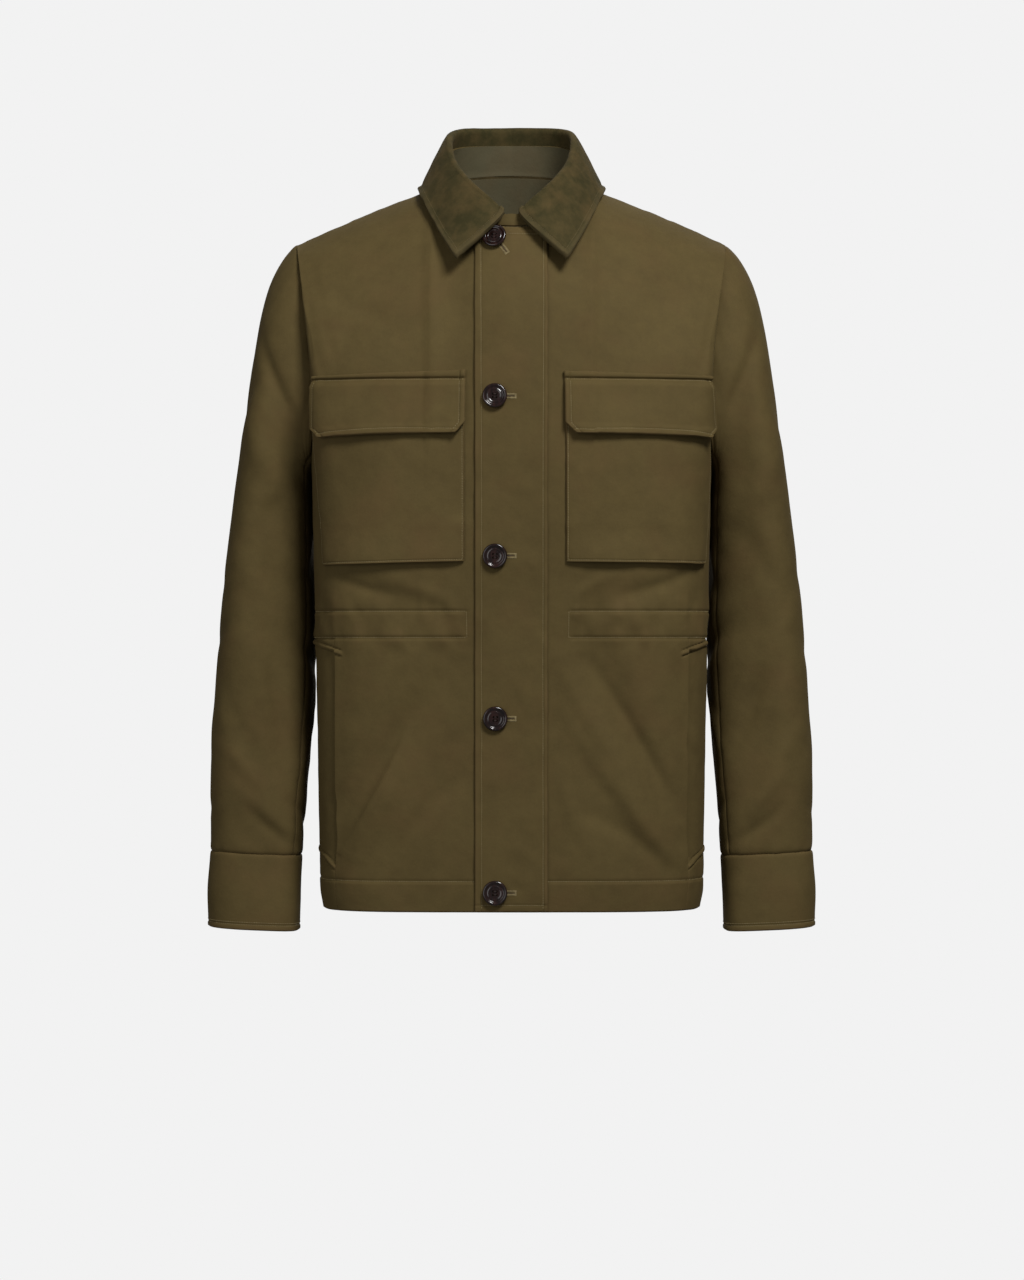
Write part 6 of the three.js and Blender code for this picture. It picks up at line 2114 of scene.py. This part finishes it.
@dataclass
class Buttons:
    """Four-hole buttons, their buttonholes and their thread."""

    placket: Sheet
    x: float = -15.5
    seat_radius: float = 8.0
    clear: float = 0.3
    segments: int = 56
    hole_radius: float = 1.05
    hole_reach: float = 2.2
    hole_length: float = 18.6
    hole_band: float = 1.7
    places: tuple[ButtonPlace, ...] = (
        ButtonPlace(-57, -3, 3, -53),
        ButtonPlace(-210, 2, -2),
        ButtonPlace(-360, -2, 2),
        ButtonPlace(-513, 1, 3),
        ButtonPlace(-676.5, 2, -3),
    )
    # radius and height of the turned profile
    profile: tuple[tuple[float, float], ...] = (
        (0, 0), (7.7, 0), (8.3, 0.12), (9.7, 0.55), (10.85, 1.15), (11.45, 1.8), (11.7, 2.5), (11.62, 3.1),
        (11.3, 3.75), (10.85, 4.15), (10.3, 4.32), (9.7, 4.22), (9.1, 3.9), (8.65, 3.4), (8.2, 3.05), (7.7, 2.92),
        (7.1, 2.94), (6.7, 3.14), (6.3, 3.24), (5.9, 3.14), (5.4, 2.94), (4.7, 2.88), (0, 2.85),
    )

    def on_placket(self, x: Array, z: Array) -> tuple[Array, Array]:
        """Places of the front view on the dressed placket, and directions out of it."""
        grid = self.placket.outside
        columns = np.interp(x, grid[:, grid.shape[1] // 2, 0], np.arange(grid.shape[0]))
        rows = np.interp(z, grid[grid.shape[0] // 2, :, 2], np.arange(grid.shape[1]))
        return grid_at(self.placket, columns, rows)

    def blank(self) -> bpy.types.Mesh:
        """Turned button with its four holes, its back on the ground."""
        ring = [(r, z) for r, z in self.profile if r > 0]
        angles = np.arange(self.segments) * 2 * math.pi / self.segments
        points = [(r * math.cos(t) * MM, r * math.sin(t) * MM, z * MM) for r, z in ring for t in angles]
        n = self.segments
        faces = [
            (k * n + i, k * n + (i + 1) % n, (k + 1) * n + (i + 1) % n, (k + 1) * n + i)
            for k in range(len(ring) - 1) for i in range(n)
        ]
        faces.append(tuple(range(n))[::-1])
        faces.append(tuple((len(ring) - 1) * n + i for i in range(n)))
        mesh = bpy.data.meshes.new("button_blank")
        mesh.from_pydata(points, [], faces)
        body = bpy.data.objects.new("button_blank", mesh)
        bpy.context.scene.collection.objects.link(body)
        drills = [self.drill(45 + 90 * turn) for turn in range(4)]
        for drill in drills:
            cut = body.modifiers.new("hole", "BOOLEAN")
            cut.operation = "DIFFERENCE"
            cut.solver = "EXACT"
            cut.object = drill
        graph = bpy.context.evaluated_depsgraph_get()
        made = bpy.data.meshes.new_from_object(body.evaluated_get(graph))
        for part in (body, *drills):
            old = part.data
            bpy.data.objects.remove(part)
            bpy.data.meshes.remove(old)
        made.polygons.foreach_set("use_smooth", np.ones(len(made.polygons), bool))
        made.set_sharp_from_angle(angle=math.radians(40))
        return made

    def drill(self, turn: float) -> bpy.types.Object:
        """Rod that cuts one hole."""
        sides = 14
        angle = math.radians(turn)
        cx, cy = self.hole_reach * math.cos(angle), self.hole_reach * math.sin(angle)
        around = [2 * math.pi * i / sides for i in range(sides)]
        points = [
            ((cx + self.hole_radius * math.cos(t)) * MM, (cy + self.hole_radius * math.sin(t)) * MM, z * MM)
            for z in (-2.0, 7.0) for t in around
        ]
        faces = [(i, (i + 1) % sides, sides + (i + 1) % sides, sides + i) for i in range(sides)]
        faces += [tuple(range(sides))[::-1], tuple(range(sides, 2 * sides))]
        mesh = bpy.data.meshes.new("drill")
        mesh.from_pydata(points, [], faces)
        rod = bpy.data.objects.new("drill", mesh)
        bpy.context.scene.collection.objects.link(rod)
        return rod

    def frame(self, place: ButtonPlace) -> tuple[Array, Array]:
        """Seat of a button.

        Args:
            place: Which button.

        Returns:
            The turn of its axes, and its middle in millimetres.
        """
        seat, out = self.on_placket(np.array([self.x]), np.array([place.z]))
        seat, out = seat[0], out[0]
        side = unit(np.cross(np.array([0, 0, 1.0]), out))
        face = np.stack([side, np.cross(out, side), out], -1)
        nod, swing = math.radians(place.nod), math.radians(place.swing)
        turn_x = np.array([[1, 0, 0], [0, math.cos(nod), -math.sin(nod)], [0, math.sin(nod), math.cos(nod)]])
        turn_y = np.array([[math.cos(swing), 0, math.sin(swing)], [0, 1, 0], [-math.sin(swing), 0, math.cos(swing)]])
        lift = self.clear + self.seat_radius * math.sin(math.hypot(nod, swing))
        return face @ turn_x @ turn_y, seat + out * lift

    def build(self, horn: bpy.types.Material) -> list[bpy.types.Object]:
        """Makes the five buttons."""
        blank = self.blank()
        corners = np.zeros(len(blank.vertices) * 3, np.float32)
        blank.vertices.foreach_get("co", corners)
        corners = corners.reshape(-1, 3) / MM
        pieces = []
        for number, place in enumerate(self.places, 1):
            turn, middle = self.frame(place)
            mesh = blank.copy()
            mesh.name = f"button_{number}"
            mesh.vertices.foreach_set("co", ((corners @ turn.T + middle) * MM).astype(np.float32).ravel())
            mesh.materials.append(horn)
            mesh.update()
            piece = bpy.data.objects.new(f"button_{number}_turned", mesh)
            bpy.context.scene.collection.objects.link(piece)
            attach(piece, "root")
            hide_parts(f"button_{number}")
            LOG.info("button_%d: %d faces", number, len(mesh.polygons))
            pieces.append(piece)
        bpy.data.meshes.remove(blank)
        return pieces

    def threads(self) -> StitchRun:
        """Two bars of thread across the holes of each button."""
        places, ways, outs = [], [], []
        for place in self.places:
            turn, middle = self.frame(place)
            for aside in (-self.hole_reach * 0.7, self.hole_reach * 0.7):
                places.append(turn @ np.array([0, aside, 3.05]) + middle)
                ways.append(turn[:, 0])
                outs.append(turn[:, 2])
        return StitchRun(np.array(places), np.array(ways), np.array(outs))

    def whipped(self, place: ButtonPlace) -> StitchRun:
        """Whip stitches round a buttonhole and the bar at its end."""
        angle = math.radians(place.slant)
        along, across = np.array([math.cos(angle), math.sin(angle)]), np.array([-math.sin(angle), math.cos(angle)])
        steps = np.arange(3.0, self.hole_length, 0.72)
        spots, spans = [], []
        for step in steps:
            for aside in (-self.hole_band, self.hole_band):
                spots.append(along * step + across * aside)
                spans.append(across)
        for aside in np.arange(-2.2, 2.3, 0.6):
            spots.append(along * (self.hole_length + 0.7) + across * aside)
            spans.append(along)
        centre = np.array([self.x, place.z])
        flat, span = np.array(spots) + centre, np.array(spans)
        points, outs = self.on_placket(flat[:, 0], flat[:, 1])
        tip, _ = self.on_placket(flat[:, 0] + span[:, 0] * 0.5, flat[:, 1] + span[:, 1] * 0.5)
        return StitchRun(points + outs * 0.1, unit(tip - points), outs)

    def slits(self, lining: bpy.types.Material) -> bpy.types.Object:
        """Dark strips in the buttonholes: painted shade of their slits."""
        points, faces = [], []
        for place in self.places:
            angle = math.radians(place.slant)
            along, across = np.array([math.cos(angle), math.sin(angle)]), np.array([-math.sin(angle), math.cos(angle)])
            steps = np.linspace(2.0, self.hole_length - 0.2, 16)
            start = len(points)
            for number, step in enumerate(steps):
                half = 0.34 * math.sin(math.pi * (number + 0.5) / 16) ** 0.3
                flat = np.array([along * step + across * aside for aside in (-half, 0, half)]) + [self.x, place.z]
                spots, outs = self.on_placket(flat[:, 0], flat[:, 1])
                points += list((spots + outs * np.array([[0.02], [0.14], [0.02]])) * MM)
            for number in range(15):
                for aside in (0, 1):
                    a = start + number * 3 + aside
                    faces.append((a, a + 3, a + 4, a + 1))
        mesh = bpy.data.meshes.new("buttonhole_slits")
        mesh.from_pydata([tuple(p) for p in points], [], faces)
        mesh.polygons.foreach_set("use_smooth", np.ones(len(mesh.polygons), bool))
        # the dark material handed in as lining is painted shade inside each slit
        mesh.materials.append(lining)
        piece = bpy.data.objects.new("buttonhole_slits", mesh)
        bpy.context.scene.collection.objects.link(piece)
        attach(piece, "root")
        return piece


# Studio


@dataclass
class Studio:
    """Plain pale floor and walls, soft lights and the camera."""

    paper: float = 0.8879
    floor_z: float = -1.35
    radius: float = 7.0
    world: float = 0.145
    camera_place: tuple[float, float, float] = (0.00047, -3.62, -0.439)
    lens: float = 104.72

    def camera(self) -> None:
        """Camera of the photograph: level, straight in front."""
        data = bpy.data.cameras.new("camera")
        data.lens = self.lens
        data.sensor_width = 36.0
        data.sensor_fit = "AUTO"
        data.clip_end = 60.0
        eye = bpy.data.objects.new("camera", data)
        eye.location = self.camera_place
        eye.rotation_euler = (math.pi / 2, 0.0, 0.0)
        bpy.context.scene.collection.objects.link(eye)
        bpy.context.scene.camera = eye

    def room(self) -> None:
        """Pale floor that sweeps up into the walls and closes overhead."""
        rings = [(0.0, 0.0), (2.0, 0.0), (4.5, 0.0), (5.6, 0.25), (6.5, 1.0), (7.0, 2.2), (7.0, 4.0), (6.2, 5.6),
                 (4.0, 6.8), (0.0, 7.2)]
        sides = 64
        points, faces = [], []
        for r, h in rings:
            points += [(r * math.cos(2 * math.pi * i / sides), r * math.sin(2 * math.pi * i / sides), self.floor_z + h)
                       for i in range(sides)]
        for k in range(len(rings) - 1):
            for i in range(sides):
                a, b = k * sides + i, k * sides + (i + 1) % sides
                faces.append((a, a + sides, b + sides, b))
        mesh = bpy.data.meshes.new("pale_room")
        mesh.from_pydata(points, [], faces)
        mesh.polygons.foreach_set("use_smooth", np.ones(len(mesh.polygons), bool))
        room = bpy.data.objects.new("pale_room", mesh)
        bpy.context.scene.collection.objects.link(room)
        material = bpy.data.materials.new("pale_paper")
        material.use_nodes = True
        tree = material.node_tree
        tree.nodes.clear()
        board = NodeBoard(tree)
        glow = board.node("ShaderNodeEmission", None, {"Color": rgba((self.paper,) * 3), "Strength": 1.0})
        board.node("ShaderNodeOutputMaterial", None, {"Surface": glow.outputs[0]})
        material.cycles.emission_sampling = "NONE"
        mesh.materials.append(material)
        room.visible_diffuse = False
        room.visible_glossy = False
        room.visible_transmission = False
        room.visible_shadow = False

    def light(self, name: str, place: tuple[float, float, float], aim: tuple[float, float, float], size: float,
              power: float) -> None:
        """A square soft light.

        Args:
            name: Name of the light.
            place: Where it stands.
            aim: Where it points.
            size: Side of the square in metres.
            power: Watts.
        """
        data = bpy.data.lights.new(name, "AREA")
        data.shape = "SQUARE"
        data.size = size
        data.energy = power
        lamp = bpy.data.objects.new(name, data)
        lamp.location = place
        way = np.array(aim) - np.array(place)
        reach = math.hypot(way[0], way[1])
        lamp.rotation_euler = (math.atan2(reach, -way[2]), 0.0, math.atan2(-way[0], way[1]))
        bpy.context.scene.collection.objects.link(lamp)

    def build(self) -> None:
        """Sets up the room, the lights and the view."""
        scene = bpy.context.scene
        world = bpy.data.worlds.new("soft_sky")
        world.use_nodes = True
        world.node_tree.nodes["Background"].inputs["Color"].default_value = (1, 1, 1, 1)
        world.node_tree.nodes["Background"].inputs["Strength"].default_value = self.world
        scene.world = world
        self.room()
        self.light("key", (0.95, -2.0, 1.75), (0.0, 0.0, -0.4), 0.9, 76)
        self.light("fill", (-1.6, -2.6, -0.1), (0.0, 0.0, -0.5), 2.0, 19)
        self.light("back", (0.3, 2.8, 1.6), (0.0, 0.0, -0.35), 2.2, 40)
        scene.view_settings.view_transform = "Standard"
        scene.view_settings.look = "None"


@dataclass
class Jacket:
    """The whole jacket, put together from its parts."""

    finishes: Finishes
    torso: TorsoForm = field(default_factory=TorsoForm)
    sheets: dict[str, Sheet] = field(default_factory=dict)

    def cut(self) -> None:
        """Cuts every sheet of cloth."""
        self.body = Body(self.torso)
        self.patches = Patches(self.torso)
        collar = Collar(CollarForm(self.torso))
        sleeves = Sleeves(SleeveForm(self.torso))
        cuts = [self.body.back(), *self.body.casings(), self.body.facing_strip(), collar.leaf(), collar.stand(),
                self.patches.placket()]
        for side in Side:
            cuts += [self.body.front(side), self.body.side_panel(side), *sleeves.sheets(side)]
            cuts += [self.patches.pocket(side), self.patches.flap(side)]
        self.sheets = {sheet.name: sheet for sheet in cuts}

    def dress(self) -> None:
        """Makes every sheet in its finish."""
        for name, sheet in self.sheets.items():
            if name == "collar_leaf":
                sheet.build(self.finishes.collar, self.finishes.shell)
            elif name == "collar_stand":
                sheet.build(self.finishes.shell, self.finishes.lining)
            elif name == "neck_facing":
                sheet.build(self.finishes.lining)
            else:
                # inner faces take the darker wrong-side twill, painted shade of the hollow's inside
                sheet.build(self.finishes.shell, self.finishes.inside)

    def sew(self) -> None:
        """Sews the topstitching and sets the buttons."""
        nodes = StitchNodes()
        tree = nodes.tree()
        sewing = Sewing(self.body, self.patches, self.sheets)
        size = (1.5, 0.95, 0.5)
        thread = self.finishes.thread
        nodes.sew("stitches_body", tree, sewing.body_runs(), size, thread, 1)
        nodes.sew("stitches_chest", tree, sewing.chest_runs(), size, thread, 2)
        nodes.sew("stitches_collar", tree, sewing.collar_runs(), (1.3, 0.6, 0.4), self.finishes.nap_thread, 3)
        nodes.sew("stitches_cuffs", tree, sewing.cuff_runs(), size, thread, 4)
        buttons = Buttons(self.sheets["placket"])
        buttons.build(self.finishes.horn)
        runs = [buttons.whipped(place) for place in buttons.places]
        nodes.sew("buttonholes", tree, runs, (2.3, 0.8, 0.62), thread, 5)
        nodes.sew("button_threads", tree, [buttons.threads()], (4.4, 0.7, 0.7), self.finishes.dark_thread, 6)
        # dark strips in the buttonholes: painted shade of the slits
        buttons.slits(self.finishes.dark_thread)


def main() -> None:
    """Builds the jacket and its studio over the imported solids."""
    logging.basicConfig(level=logging.INFO, format="%(message)s")
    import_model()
    studio = Studio()
    studio.camera()
    jacket = Jacket(Finishes())
    jacket.cut()
    jacket.dress()
    jacket.sew()
    studio.build()


if __name__ == "__main__":
    main()
